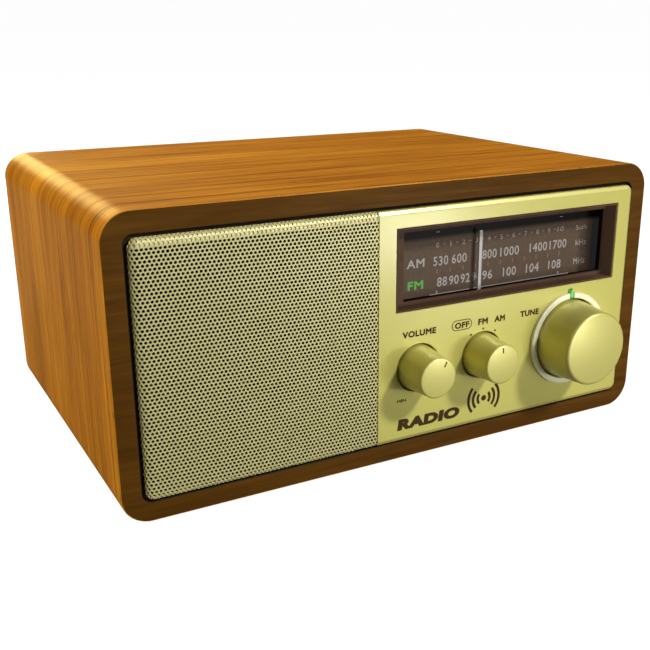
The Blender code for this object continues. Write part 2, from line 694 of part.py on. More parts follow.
def build_drive(datum, finish):
    bm = bmesh.new()
    add_box(bm, (CHASSIS_LEFT, CHASSIS_FRONT, CHASSIS_LOW), (CHASSIS_RIGHT, CHASSIS_BACK, CHASSIS_HIGH))
    chassis = piece("dial_chassis", bm, finish["steel"], datum)
    bm = bmesh.new()
    for left in (-5 * MM, 106 * MM):
        add_box(bm, (left, RAIL_Y - 3 * MM, 54 * MM), (left + 2 * MM, CHASSIS_FRONT + 0.6 * MM, 60 * MM))
    for x, z in (IDLER_LEFT, IDLER_RIGHT):
        add_cylinder(bm, (x, z), 1.3 * MM, CORD_Y - 3 * MM, CHASSIS_FRONT + 0.6 * MM)
        add_cylinder(bm, (x, z), 3.0 * MM, CORD_Y + 1.9 * MM, CHASSIS_FRONT + 0.5 * MM)
    join(chassis, bm)
    bm = bmesh.new()
    add_cylinder(bm, TUNING_AXIS, BORE_RADIUS, 25 * MM, 35 * MM, 20)
    add_cylinder(bm, DRUM_AXIS, BORE_RADIUS, 25 * MM, 35 * MM, 20)
    add_rod(bm, RAIL_RADIUS + 0.2 * MM, 150 * MM, (50 * MM, RAIL_Y, RAIL_Z))
    cut(chassis, bm)

    for side, (x, z) in (("left", IDLER_LEFT), ("right", IDLER_RIGHT)):
        pivot = empty(f"idler_{side}_axis", (x, CORD_Y, z), datum)
        bottom = IDLER_RUN - CORD_RADIUS - 0.2 * MM
        bore, flange, half = 1.6 * MM, 5.2 * MM, 1.5 * MM
        bm = bmesh.new()
        add_turned(
            bm,
            [
                (bore, half), (bore, -half), (flange, -half), (flange, -1.1 * MM),
                (bottom, -0.6 * MM), (bottom, 0.6 * MM), (flange, 1.1 * MM), (flange, half),
            ],
            steps=16, closed=True,
        )
        piece(f"idler_pulley_{side}", bm, finish["nylon"], pivot, smooth=True)

    pivot = empty("drum_axis", (DRUM_AXIS[0], CORD_Y, DRUM_AXIS[1]), datum)
    bottom = DRUM_RUN - CORD_RADIUS - 0.2 * MM
    hub, rim, flange = 5.5 * MM, 17.5 * MM, 22 * MM
    web, half = 0.8 * MM, 1.7 * MM
    bm = bmesh.new()
    add_turned(
        bm,
        [
            (0.0, -3.5 * MM), (hub, -3.5 * MM), (hub, -web), (rim, -web), (rim, -half), (flange, -half),
            (flange, -1.1 * MM), (bottom, -0.6 * MM), (bottom, 0.6 * MM), (flange, 1.1 * MM), (flange, half),
            (rim, half), (rim, web), (hub, web), (hub, 3 * MM), (SHAFT_RADIUS, 3 * MM),
            (SHAFT_RADIUS, 12.5 * MM), (0.0, 12.5 * MM),
        ],
    )
    drum = piece("dial_drum", bm, finish["nylon"], pivot, smooth=True)
    bm = bmesh.new()
    for i in range(3):
        angle = math.radians(90 + 120 * i)
        centre = (11.5 * MM * math.cos(angle), 11.5 * MM * math.sin(angle))
        add_cylinder(bm, centre, 3.6 * MM, -3 * MM, 3 * MM)
    cut(drum, bm)

    bm = bmesh.new()
    half = CAPACITOR_HALF
    add_box(bm, (-half, CHASSIS_BACK + GAP, -half), (half, CAPACITOR_BACK, half))
    body = piece("tuning_capacitor", bm, finish["nylon"], datum, (DRUM_AXIS[0], 0, DRUM_AXIS[1]))
    bm = bmesh.new()
    add_cylinder(bm, (0, 0), BORE_RADIUS, 25 * MM, CORD_Y + 13 * MM, 20)
    cut(body, bm)

    curve = bpy.data.curves.new("dial_cord", "CURVE")
    curve.dimensions = "3D"
    curve.bevel_depth = CORD_RADIUS
    curve.bevel_resolution = 1
    curve.materials.append(finish["cord"])
    points = belt_points(
        [
            (*IDLER_LEFT, IDLER_RUN, CORD_Y, CORD_Y, 0),
            (*IDLER_RIGHT, IDLER_RUN, CORD_Y, CORD_Y, 0),
            (*TUNING_AXIS, SPINDLE_RUN, CORD_Y - 1 * MM, CORD_Y + 1 * MM, 1),
            (*DRUM_AXIS, DRUM_RUN, CORD_Y, CORD_Y, 0),
        ]
    )
    line = curve.splines.new("POLY")
    line.points.add(len(points) - 1)
    for point, place in zip(line.points, points):
        point.co = (*place, 1.0)
    line.use_cyclic_u = True
    cord = bpy.data.objects.new("dial_cord", curve)
    cord.parent = datum
    bpy.context.scene.collection.objects.link(cord)


# ---------------------------------------------------------------- loudspeaker


def build_speaker(datum, finish):
    at = (SPEAKER[0], SPEAKER_FRONT - 4.7 * MM, SPEAKER[1])
    bm = bmesh.new()
    add_turned(
        bm,
        [
            (38.5 * MM, 4.7 * MM), (38.5 * MM, 5.8 * MM), (35.4 * MM, 5.8 * MM), (27.2 * MM, 23 * MM),
            (12 * MM, 23 * MM), (12 * MM, 22 * MM), (26.4 * MM, 22 * MM), (34.2 * MM, 5.8 * MM),
            (32 * MM, 5.8 * MM), (32 * MM, 4.7 * MM),
        ],
        closed=True,
    )
    basket = piece("speaker_basket", bm, finish["steel"], datum, at, smooth=True)
    bm = bmesh.new()
    for i in range(4):
        angle = math.radians(45 + 90 * i)
        spot = Vector((28 * MM * math.cos(angle), 14.5 * MM, 28 * MM * math.sin(angle)))
        window = Matrix.Diagonal((30 * MM, 9 * MM, 20 * MM, 1.0))
        matrix = Matrix.Translation(spot) @ Matrix.Rotation(-angle, 4, "Y") @ window
        bmesh.ops.create_cube(bm, size=1.0, matrix=matrix)
    cut(basket, bm)

    bm = bmesh.new()
    add_turned(
        bm,
        [
            (0.0, 23.3 * MM), (8.4 * MM, 23.3 * MM), (8.4 * MM, 34 * MM), (10.6 * MM, 34 * MM),
            (10.6 * MM, 23.3 * MM), (22 * MM, 23.3 * MM), (22 * MM, 27 * MM), (26 * MM, 27 * MM),
            (26 * MM, 36 * MM), (23 * MM, 36 * MM), (23 * MM, 39 * MM), (0.0, 39 * MM),
        ]
    )
    piece("speaker_magnet", bm, finish["ferrite"], datum, at, smooth=True)

    pivot = empty("cone_axis", at, datum)
    bm = bmesh.new()
    add_turned(
        bm,
        [
            (27.6 * MM, 6.9 * MM), (27.6 * MM, 7.4 * MM), (26 * MM, 7.4 * MM), (19 * MM, 11.5 * MM),
            (10.2 * MM, 17.5 * MM), (10.2 * MM, 16.8 * MM), (18.6 * MM, 11 * MM), (25.8 * MM, 6.9 * MM),
        ],
        steps=20, closed=True,
    )
    piece("speaker_cone", bm, finish["paper"], pivot, smooth=True)
    bm = bmesh.new()
    dome = [(0.0, 10.8 * MM), (4 * MM, 11.2 * MM), (8 * MM, 12.5 * MM), (11 * MM, 14.4 * MM)]
    back = [(11 * MM, 15.0 * MM), (8 * MM, 13.1 * MM), (4 * MM, 11.8 * MM), (0.0, 11.4 * MM)]
    add_turned(bm, dome + back, steps=20)
    piece("dust_cap", bm, finish["paper"], pivot, smooth=True)
    bm = bmesh.new()
    coil = [(9.1 * MM, 16.9 * MM), (9.8 * MM, 16.9 * MM), (9.8 * MM, 30 * MM), (9.1 * MM, 30 * MM)]
    add_turned(bm, coil, steps=20, closed=True)
    piece("voice_coil", bm, finish["copper"], pivot, smooth=True)

    bm = bmesh.new()
    roll = []
    for i in range(5):
        angle = math.pi * i / 4
        roll.append((29.7 * MM - 1.6 * MM * math.cos(angle), 6.1 * MM + 1.6 * MM * math.sin(angle)))
    front = [(26 * MM, 6.1 * MM)] + roll + [(33.5 * MM, 6.1 * MM)]
    rear = [(r, y + 0.4 * MM) for r, y in reversed(front)]
    add_turned(bm, front + rear, steps=20, closed=True)
    piece("speaker_surround", bm, finish["rubber"], datum, at, smooth=True)

    bm = bmesh.new()
    folds = 5
    front = [(10.2 * MM, 19.6 * MM)]
    for i in range(folds):
        radius = (12 + 10 * i / (folds - 1)) * MM
        front.append((radius, (19.6 + 0.6 * (-1) ** i) * MM))
    front.append((25 * MM, 19.6 * MM))
    rear = [(r, y + 0.4 * MM) for r, y in reversed(front)]
    add_turned(bm, front + rear, steps=20, closed=True)
    piece("speaker_spider", bm, finish["cord"], datum, at, smooth=True)


# ---------------------------------------------------------------- electronics and back


def build_electronics(datum, finish):
    bm = bmesh.new()
    add_box(bm, (-52 * MM, 80 * MM, BOARD_LOW), (52 * MM, 157.5 * MM, BOARD_TOP))
    board = piece("main_board", bm, finish["board"], datum)
    bm = bmesh.new()
    chips = ((-40, 95, 22, 12, 9), (0, 95, 18, 18, 4), (-5, 122, 24, 16, 6))
    capacitors = ((-38, 120, 10, 10, 18), (-22, 120, 10, 10, 18), (28, 118, 8, 8, 12))
    heatsink = (28, 92, 30, 8, 22)
    for x, y, width, depth, height in (*chips, *capacitors, heatsink):
        low = (x * MM, y * MM, BOARD_TOP - 0.5 * MM)
        add_box(bm, low, ((x + width) * MM, (y + depth) * MM, BOARD_TOP + height * MM))
    join(board, bm)

    bm = bmesh.new()
    add_rod(bm, ROD_RADIUS, 120 * MM)
    piece("ferrite_rod", bm, finish["ferrite"], datum, ROD, smooth=True)
    bm = bmesh.new()
    add_rod(bm, ROD_RADIUS + 2 * MM, 32 * MM)
    coil = piece("ferrite_coil", bm, finish["copper"], datum, (ROD[0] + 20 * MM, ROD[1], ROD[2]), smooth=True)
    bm = bmesh.new()
    add_rod(bm, ROD_BORE, 60 * MM)
    cut(coil, bm)
    bm = bmesh.new()
    top = CEILING - GAP - ROD[2]
    add_box(bm, (-34 * MM, -6 * MM, top - 2 * MM), (34 * MM, 6 * MM, top))
    cradle = piece("ferrite_cradle", bm, finish["nylon"], datum, ROD)
    bm = bmesh.new()
    for x in (-30 * MM, -4 * MM):
        add_box(bm, (x, -6 * MM, -0.7 * MM), (x + 4 * MM, 6 * MM, top - 1 * MM))
    join(cradle, bm)
    bm = bmesh.new()
    add_rod(bm, ROD_BORE, 90 * MM)
    cut(cradle, bm)

    at = (*TRANSFORMER, FLOOR + GAP)
    bm = bmesh.new()
    add_box(bm, (-20 * MM, -17 * MM, 0), (20 * MM, 17 * MM, 34 * MM))
    core = piece("transformer_core", bm, finish["ferrite"], datum, at)
    bm = bmesh.new()
    for x in (-13 * MM, 6 * MM):
        add_box(bm, (x, -20 * MM, 7 * MM), (x + 7 * MM, 20 * MM, 27 * MM))
    cut(core, bm)
    bm = bmesh.new()
    add_box(bm, (-12.5 * MM, -25 * MM, 7.4 * MM), (12.5 * MM, 25 * MM, 26.6 * MM))
    winding = piece("transformer_winding", bm, finish["copper"], datum, at)
    bm = bmesh.new()
    add_box(bm, (-6.4 * MM, -17.4 * MM, 0), (6.4 * MM, 17.4 * MM, 40 * MM))
    cut(winding, bm)


def build_back(datum, finish):
    inner_half = CABINET_WIDTH / 2 - WALL - GAP
    bm = bmesh.new()
    outline = rounded_outline(-inner_half, inner_half, FLOOR + GAP, CEILING - GAP, INNER_CORNER)
    add_prism(bm, outline, BACK_FRONT, BACK_REAR)
    panel = piece("rear_panel", bm, finish["black"], datum)
    bm = bmesh.new()
    for x in (-47 * MM, 43 * MM):
        add_box(bm, (x, 84 * MM, FLOOR + 2 * GAP), (x + 4 * MM, BACK_FRONT + 1 * MM, BOARD_LOW - GAP))
    join(panel, bm)
    bm = bmesh.new()
    y0, y1 = BACK_FRONT - 4 * MM, BACK_REAR + 4 * MM
    add_cylinder(bm, PORT, PORT_RADIUS + PORT_WALL + GAP, y0, y1, ROUND_STEPS)
    for i in range(VENTS):
        z = 58 * MM + i * VENT_PITCH
        add_box(bm, (22 * MM, y0, z), (92 * MM, y1, z + VENT_HEIGHT))
    for _, x, radius in JACKS:
        add_cylinder(bm, (x, JACK_Z), radius + GAP, y0, y1, 20)
    recesses = ((*INLET, INLET_HALF), (TERMINAL_X, JACK_Z, TERMINAL_HALF), (*SWITCH, SWITCH_HALF))
    for x, z, (half_width, half_height) in recesses:
        width, height = half_width + GAP, half_height + GAP
        add_box(bm, (x - width, y0, z - height), (x + width, y1, z + height))
    for x, z in SCREWS:
        add_cylinder(bm, (x, z), SCREW_HOLE, y0, y1)
    cut(panel, bm)

    for side in ("left", "right"):
        batten = bpy.data.objects[f"rear_batten_{side}"]
        bm = bmesh.new()
        for x, z in SCREWS:
            add_cylinder(bm, (x - batten.location.x, z), SCREW_HOLE, 0.9 * MM, BATTEN + 4 * MM)
        cut(batten, bm)

    for index, (x, z) in enumerate(SCREWS):
        bm = bmesh.new()
        add_turned(
            bm,
            [
                (0.0, -11 * MM), (1.0 * MM, -10 * MM), (1.6 * MM, -8 * MM), (1.6 * MM, GAP), (3.2 * MM, GAP),
                (3.0 * MM, 1.4 * MM), (1.8 * MM, 2 * MM), (0.0, 2 * MM),
            ],
            steps=12,
        )
        screw = piece(f"rear_screw_{index + 1}", bm, finish["steel"], datum, (x, BACK_REAR, z), smooth=True)
        bm = bmesh.new()
        add_prism(bm, cross_outline(1.8 * MM, 0.3 * MM), 1.2 * MM, 4 * MM)
        cut(screw, bm)

    tube = PORT_RADIUS + PORT_WALL
    lip = PORT_RADIUS + 4 * MM
    rim = BACK_REAR + GAP
    mouth = BACK_REAR + 1.3 * MM
    flare = [
        (PORT_RADIUS, PORT_FRONT), (PORT_RADIUS, BACK_FRONT), (PORT_RADIUS + 0.6 * MM, rim),
        (PORT_RADIUS + 2.2 * MM, mouth), (lip, mouth), (lip, rim),
        (tube, rim), (tube, PORT_FRONT),
    ]
    bm = bmesh.new()
    add_turned(bm, flare, closed=True)
    piece("bass_port", bm, finish["black"], datum, (PORT[0], 0, PORT[1]), smooth=True)

    bm = bmesh.new()
    half_width, half_height = INLET_HALF
    outline = rounded_outline(-half_width, half_width, -half_height, half_height, 2 * MM, 3)
    add_prism(bm, outline, 142 * MM, BACK_REAR + GAP)
    inlet = piece("mains_inlet", bm, finish["black"], datum, (INLET[0], 0, INLET[1]))
    bm = bmesh.new()
    wide, tall = half_width + 2.5 * MM, half_height + 2 * MM
    add_box(bm, (-wide, BACK_REAR + GAP - 0.01 * MM, -tall), (wide, BACK_REAR + 1.6 * MM, tall))
    join(inlet, bm)
    bm = bmesh.new()
    outline = rounded_outline(-7.9 * MM, 7.9 * MM, -4.3 * MM, 4.3 * MM, 4.2 * MM, 6)
    add_prism(bm, outline, 148 * MM, BACK_REAR + 4 * MM)
    cut(inlet, bm)
    bm = bmesh.new()
    for x in (-4.3 * MM, 4.3 * MM):
        add_cylinder(bm, (x, 0), 1.2 * MM, 147 * MM, 158 * MM)
    join(inlet, bm)

    for name, x, radius in JACKS:
        bm = bmesh.new()
        bore = 1.8 * MM if radius < 5 * MM else 3.2 * MM
        bottom = JACK_BACK + 3 * MM
        rear, shoulder, body = BACK_REAR + 0.8 * MM, BACK_FRONT - 1 * MM, radius + 1.2 * MM
        add_turned(
            bm,
            [
                (0.0, bottom), (bore, bottom), (bore, rear), (radius, rear),
                (radius, shoulder), (body, shoulder), (body, JACK_BACK), (0.0, JACK_BACK),
            ],
            steps=20,
        )
        piece(name, bm, finish["black"], datum, (x, 0, JACK_Z), smooth=True)

    bm = bmesh.new()
    width, height = TERMINAL_HALF
    add_box(bm, (-width, BACK_FRONT - 8 * MM, -height), (width, BACK_REAR + 1.5 * MM, height))
    block = piece("antenna_terminals", bm, finish["black"], datum, (TERMINAL_X, 0, JACK_Z))
    bm = bmesh.new()
    for x in (-12.5 * MM, -4.2 * MM, 4.2 * MM, 12.5 * MM):
        half = 1.6 * MM
        add_box(bm, (x - half, BACK_REAR - 4 * MM, -3.5 * MM), (x + half, BACK_REAR + 3 * MM, 0.5 * MM))
    cut(block, bm)

    bm = bmesh.new()
    width, height = SWITCH_HALF
    add_box(bm, (-width, BACK_FRONT - 7 * MM, -height), (width, BACK_REAR - 0.5 * MM, height))
    body = piece("antenna_switch", bm, finish["black"], datum, (SWITCH[0], 0, SWITCH[1]))
    bm = bmesh.new()
    add_box(bm, (-5.5 * MM, BACK_REAR - 3.5 * MM, -2 * MM), (5.5 * MM, BACK_REAR + 2 * MM, 2 * MM))
    cut(body, bm)
    pivot = empty("switch_axis", (SWITCH[0] - 2 * MM, BACK_REAR, SWITCH[1]), datum)
    bm = bmesh.new()
    add_box(bm, (-3 * MM, -3.2 * MM, -1.7 * MM), (3 * MM, 1.6 * MM, 1.7 * MM))
    slider = piece("antenna_slider", bm, finish["nylon"], pivot)
    bm = bmesh.new()
    for i in range(3):
        x = (-1.6 + 1.6 * i) * MM
        add_box(bm, (x - 0.25 * MM, 1.1 * MM, -3 * MM), (x + 0.25 * MM, 3 * MM, 3 * MM))
    cut(slider, bm)


def main():
    clear_scene()
    finish = make_finishes()
    datum = empty("datum", (0, -(TUNING_KNOB_FRONT + CABINET_DEPTH) / 2, FOOT_HEIGHT))
    build_cabinet(datum, finish)
    build_front(datum, finish)
    build_dial(datum, finish)
    build_pointer(datum, finish)
    build_controls(datum, finish)
    build_drive(datum, finish)
    build_speaker(datum, finish)
    build_electronics(datum, finish)
    build_back(datum, finish)


main()
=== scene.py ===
"""The looks of the tabletop radio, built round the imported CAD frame.

Lengths are in metres. The datum is the middle of the cabinet's front rim, level with the cabinet's
underside: places written as (x, y, z) are measured from it, +X right, +Y back, +Z up.
"""

import json
import math

import bmesh
import bpy
from mathutils import Matrix, Vector


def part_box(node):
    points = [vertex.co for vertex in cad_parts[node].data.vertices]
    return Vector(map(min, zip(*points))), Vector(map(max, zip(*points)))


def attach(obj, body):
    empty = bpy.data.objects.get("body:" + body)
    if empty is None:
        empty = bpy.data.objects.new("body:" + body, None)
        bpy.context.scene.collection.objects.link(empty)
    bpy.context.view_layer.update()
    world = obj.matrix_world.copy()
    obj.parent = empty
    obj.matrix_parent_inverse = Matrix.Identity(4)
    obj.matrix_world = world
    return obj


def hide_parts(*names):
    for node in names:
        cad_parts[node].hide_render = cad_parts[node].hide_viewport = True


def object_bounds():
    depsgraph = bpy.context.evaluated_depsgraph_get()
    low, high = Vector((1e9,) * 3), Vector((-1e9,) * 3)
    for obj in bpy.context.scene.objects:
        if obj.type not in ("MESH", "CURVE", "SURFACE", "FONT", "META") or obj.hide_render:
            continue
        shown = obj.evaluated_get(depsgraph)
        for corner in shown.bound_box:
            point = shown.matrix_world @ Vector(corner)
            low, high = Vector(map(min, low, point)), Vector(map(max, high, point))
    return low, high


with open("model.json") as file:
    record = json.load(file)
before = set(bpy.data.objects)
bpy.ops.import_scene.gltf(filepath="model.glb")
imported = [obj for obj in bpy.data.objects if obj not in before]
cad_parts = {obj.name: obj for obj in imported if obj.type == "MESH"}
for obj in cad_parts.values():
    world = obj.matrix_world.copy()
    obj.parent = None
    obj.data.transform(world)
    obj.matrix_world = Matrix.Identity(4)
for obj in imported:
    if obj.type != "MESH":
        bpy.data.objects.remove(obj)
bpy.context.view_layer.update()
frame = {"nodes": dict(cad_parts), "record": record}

MM = 0.001
NODES = frame["nodes"]

CASE_LOW, CASE_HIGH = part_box("cabinet_shell")
DATUM = Vector(((CASE_LOW.x + CASE_HIGH.x) / 2, CASE_LOW.y, CASE_LOW.z))
WIDTH = CASE_HIGH.x - CASE_LOW.x
DEPTH = CASE_HIGH.y - CASE_LOW.y
HEIGHT = CASE_HIGH.z - CASE_LOW.z
CASE_CORNER = 11.1 * MM
CASE_WALL = 7.8 * MM
CASE_FLOOR = 7.6 * MM
CASE_CEILING = 104.2 * MM
CASE_INNER_CORNER = 3.6 * MM

TO_DATUM = Matrix.Translation(DATUM)


def place_of(name):
    """Lowest and highest corner of a CAD node, measured from the datum."""
    low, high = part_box(name)
    return low - DATUM, high - DATUM


FACE_LOW, FACE_HIGH = place_of("faceplate")
GRILLE_LOW, GRILLE_HIGH = place_of("speaker_grille")
FACE_Y = FACE_LOW.y
PANEL_CORNER = 3.3 * MM

WINDOW_LEFT, WINDOW_RIGHT = -9.1 * MM, 103.1 * MM
WINDOW_LOW, WINDOW_HIGH = 62.9 * MM, 96.1 * MM
WINDOW_CORNER = 0.3 * MM


def axis_of(name):
    """The (x, z) of a knob's axis."""
    low, high = place_of(name)
    return ((low.x + high.x) / 2, (low.z + high.z) / 2)


VOLUME_AXIS = axis_of("volume_knob")
FUNCTION_AXIS = axis_of("function_knob")
TUNING_AXIS = axis_of("tuning_knob")
# How far each mark is turned clockwise from straight up.
VOLUME_TURN = math.radians(30)
FUNCTION_TURN = math.radians(-4)


# ---------------------------------------------------------------- shader helpers


def node(tree, kind, settings=None, **sockets):
    """Adds a shader node. A socket value that is itself an output gets linked."""
    made = tree.nodes.new("ShaderNode" + kind)
    for key, value in (settings or {}).items():
        setattr(made, key, value)
    for key, value in sockets.items():
        socket = made.inputs[int(key) if key.isdigit() else key.replace("_", " ")]
        if isinstance(value, bpy.types.NodeSocket):
            tree.links.new(value, socket)
        else:
            socket.default_value = value
    return made


def ramp(tree, factor, *stops):
    """A colour ramp over (position, colour) stops."""
    made = tree.nodes.new("ShaderNodeValToRGB")
    tree.links.new(factor, made.inputs["Fac"])
    points = made.color_ramp.elements
    while len(points) < len(stops):
        points.new(0.5)
    for point, (position, color) in zip(points, stops):
        point.position = position
        point.color = (*color, 1.0)
    return made.outputs["Color"]


def grey(value):
    """A neutral colour, or a roughness for a ramp."""
    return (value, value, value)


def coordinates(tree, scale=(1.0, 1.0, 1.0), uv=None):
    """The object's own coordinates, or those of one of its maps, stretched by scale."""
    if uv:
        source = node(tree, "UVMap", {"uv_map": uv}).outputs["UV"]
    else:
        source = node(tree, "TexCoord").outputs["Object"]
    return node(tree, "Mapping", Vector=source, Scale=scale).outputs["Vector"]


def noise_of(tree, vector, scale, detail=3.0, roughness=0.5, distortion=0.0):
    """Noise from 0 to 1."""
    sockets = {"Scale": scale, "Detail": detail, "Roughness": roughness, "Distortion": distortion}
    return node(tree, "TexNoise", Vector=vector, **sockets).outputs["Fac"]


def mix(tree, factor, first, second, blend="MIX"):
    """Two colours or values, blended."""
    made = node(tree, "MixRGB", {"blend_type": blend}, Fac=factor, Color1=first, Color2=second)
    return made.outputs["Color"]


def times(tree, first, second):
    """Two values multiplied."""
    return node(tree, "Math", {"operation": "MULTIPLY"}, **{"0": first, "1": second}).outputs["Value"]


def start(name, **constants):
    """A material with a Principled shader whose constant sockets are set directly."""
    made = bpy.data.materials.new(name)
    made.use_nodes = True
    tree = made.node_tree
    shader = tree.nodes["Principled BSDF"]
    for key, value in constants.items():
        shader.inputs[key.replace("_", " ")].default_value = value
    return made, tree, shader


def bump(tree, shader, height, strength, distance):
    """Fine relief for a shader's normal."""
    made = node(tree, "Bump", Strength=strength, Distance=distance, Height=height)
    tree.links.new(made.outputs["Normal"], shader.inputs["Normal"])


def speckled(name, dark, light, scale, roughness, bump_distance, stretch=(1.0, 1.0, 1.0), **constants):
    """A surface that wanders between two shades, with grain of that scale in its relief and sheen."""
    made, tree, shader = start(name, **constants)
    vector = coordinates(tree, stretch)
    cloud = noise_of(tree, vector, scale * 0.08, 3.0)
    grain = noise_of(tree, vector, scale, 2.0)
    both = mix(tree, 0.45, cloud, grain)
    tree.links.new(ramp(tree, both, (0.3, dark), (0.7, light)), shader.inputs["Base Color"])
    low, high = roughness
    tree.links.new(ramp(tree, both, (0.3, grey(high)), (0.7, grey(low))), shader.inputs["Roughness"])
    bump(tree, shader, grain, 0.6, bump_distance)
    return made


# ---------------------------------------------------------------- materials


# Tint of the wood lacquer's reflections.
AMBER = (1.0, 0.72, 0.30, 1.0)


def veneer():
    """Satin-lacquered walnut. The map's u runs round the sleeve, along the grain, and v front to back."""
    made, tree, shader = start("veneer", Specular_IOR_Level=0.22, Specular_Tint=AMBER)
    broad = noise_of(tree, coordinates(tree, (4.0, 30.0, 1.0), "grain"), 1.0, 4.0, 0.6, 1.2)
    streak = noise_of(tree, coordinates(tree, (7.0, 300.0, 1.0), "grain"), 1.0, 5.0, 0.7, 0.5)
    fibre = noise_of(tree, coordinates(tree, (50.0, 1700.0, 1.0), "grain"), 1.0, 3.0, 0.6)
    pores = noise_of(tree, coordinates(tree, (130.0, 2800.0, 1.0), "grain"), 1.0, 1.0, 0.5)
    lines = noise_of(tree, coordinates(tree, (5.0, 620.0, 1.0), "grain"), 1.0, 2.0, 0.5, 0.3)
    figure = mix(tree, 0.55, broad, streak)
    figure = mix(tree, 0.25, figure, fibre)
    wood = ramp(
        tree, figure,
        (0.32, (0.190, 0.060, 0.0060)), (0.43, (0.420, 0.149, 0.0130)),
        (0.53, (0.610, 0.243, 0.0200)), (0.66, (0.870, 0.395, 0.0320)),
    )
    dark_pores = ramp(tree, pores, (0.28, (0.50, 0.40, 0.30)), (0.38, grey(1.0)))
    dark_lines = ramp(tree, lines, (0.34, (0.42, 0.30, 0.20)), (0.44, grey(1.0)))
    wood = mix(tree, 0.8, wood, dark_pores, "MULTIPLY")
    wood = mix(tree, 0.75, wood, dark_lines, "MULTIPLY")
    tree.links.new(wood, shader.inputs["Base Color"])
    tree.links.new(ramp(tree, fibre, (0.3, grey(0.46)), (0.7, grey(0.34))), shader.inputs["Roughness"])
    bump(tree, shader, mix(tree, 0.5, fibre, dark_pores), 0.2, 0.00006)
    return made


def rim_wood():
    """The dark-stained front and rear edges, with the grain lying level all the way round."""
    made, tree, shader = start("rim_wood", Specular_IOR_Level=0.18, Specular_Tint=AMBER)
    streak = noise_of(tree, coordinates(tree, (14.0, 60.0, 190.0)), 1.0, 5.0, 0.62, 0.8)
    fibre = noise_of(tree, coordinates(tree, (45.0, 200.0, 1100.0)), 1.0, 3.0, 0.6)
    figure = mix(tree, 0.3, streak, fibre)
    wood = ramp(
        tree, figure,
        (0.34, (0.064, 0.022, 0.0015)), (0.5, (0.088, 0.033, 0.0026)), (0.64, (0.117, 0.046, 0.0043)),
    )
    tree.links.new(wood, shader.inputs["Base Color"])
    tree.links.new(ramp(tree, fibre, (0.3, grey(0.55)), (0.7, grey(0.42))), shader.inputs["Roughness"])
    bump(tree, shader, fibre, 0.2, 0.00005)
    return made


def champagne(name, dark, light, metallic=0.1, coat_roughness=0.28, rings=False):
    """Champagne lacquer under a clear coat; turned pieces carry very fine lathe rings."""
    made, tree, shader = start(
        name, Metallic=metallic, Specular_IOR_Level=0.2, Coat_Weight=1.0, Coat_Roughness=coat_roughness
    )
    vector = coordinates(tree)
    cloud = noise_of(tree, vector, 30.0, 3.0)
    fleck = noise_of(tree, vector, 5200.0, 2.0)
    both = mix(tree, 0.35, cloud, fleck)
    tree.links.new(ramp(tree, both, (0.3, dark), (0.7, light)), shader.inputs["Base Color"])
    tree.links.new(ramp(tree, both, (0.3, grey(0.44)), (0.7, grey(0.36))), shader.inputs["Roughness"])
    relief = fleck
    if rings:
        lathe = noise_of(tree, coordinates(tree, (1.0, 9000.0, 1.0), "turned"), 1.0, 2.0)
        relief = mix(tree, 0.5, fleck, lathe)
    bump(tree, shader, relief, 0.2, 0.00002)
    return made


def from_datum(tree):
    """A node whose outputs X, Y and Z give a point's place from the datum."""
    moved = node(tree, "VectorMath", {"operation": "SUBTRACT"}, **{"0": coordinates(tree), "1": DATUM})
    return node(tree, "SeparateXYZ", Vector=moved.outputs["Vector"])


def band(tree, value, low, high, soft):
    """One between low and high (all in mm, from the datum), fading to nothing over soft at each end."""
    rise = node(tree, "MapRange", {"interpolation_type": "SMOOTHSTEP"}, Value=value)
    fall = node(tree, "MapRange", {"interpolation_type": "SMOOTHSTEP"}, Value=value)
    for made, first, last in ((rise, low - soft, low), (fall, high + soft, high)):
        made.inputs["From Min"].default_value = first * MM
        made.inputs["From Max"].default_value = last * MM
    return times(tree, rise.outputs["Result"], fall.outputs["Result"])


def dial_brown():
    """The printed scale plate: dark brown and faintly mottled. Its top and right end are painted black as
    painted shade, and below the top one it has a faint painted glow that stands in for light.
    """
    made, tree, shader = start(
        "dial_brown", Roughness=0.5, Specular_IOR_Level=0.1, Emission_Strength=0.28
    )
    mottle = noise_of(tree, coordinates(tree), 900.0, 2.0)
    tone = ramp(tree, mottle, (0.3, (0.082, 0.054, 0.036)), (0.7, (0.097, 0.066, 0.045)))
    axes = from_datum(tree)
    # Painted shade: outside these two bands, along the plate's top and right end, it is painted black, and
    # above the top band it has no painted glow.
    unshaded_across = band(tree, axes.outputs["X"], -9.0, 101.0, 0.8)
    unshaded_upward = band(tree, axes.outputs["Z"], 60.0, 86.0, 2.5)
    painted_shade = (0.011, 0.009, 0.008, 1.0)
    painted_edge_glow = (0.050, 0.050, 0.052, 1.0)
    unlit = (0.0, 0.0, 0.0, 1.0)
    plate = mix(tree, times(tree, unshaded_across, unshaded_upward), painted_shade, tone)
    tree.links.new(plate, shader.inputs["Base Color"])
    # A faint painted glow over the plate, standing in for light: dim grey beyond its right end, none in the
    # painted top shade.
    glow = mix(tree, unshaded_upward, unlit, mix(tree, unshaded_across, painted_edge_glow, tone))
    tree.links.new(glow, shader.inputs["Emission Color"])
    bump(tree, shader, mottle, 0.3, 0.00001)
    return made


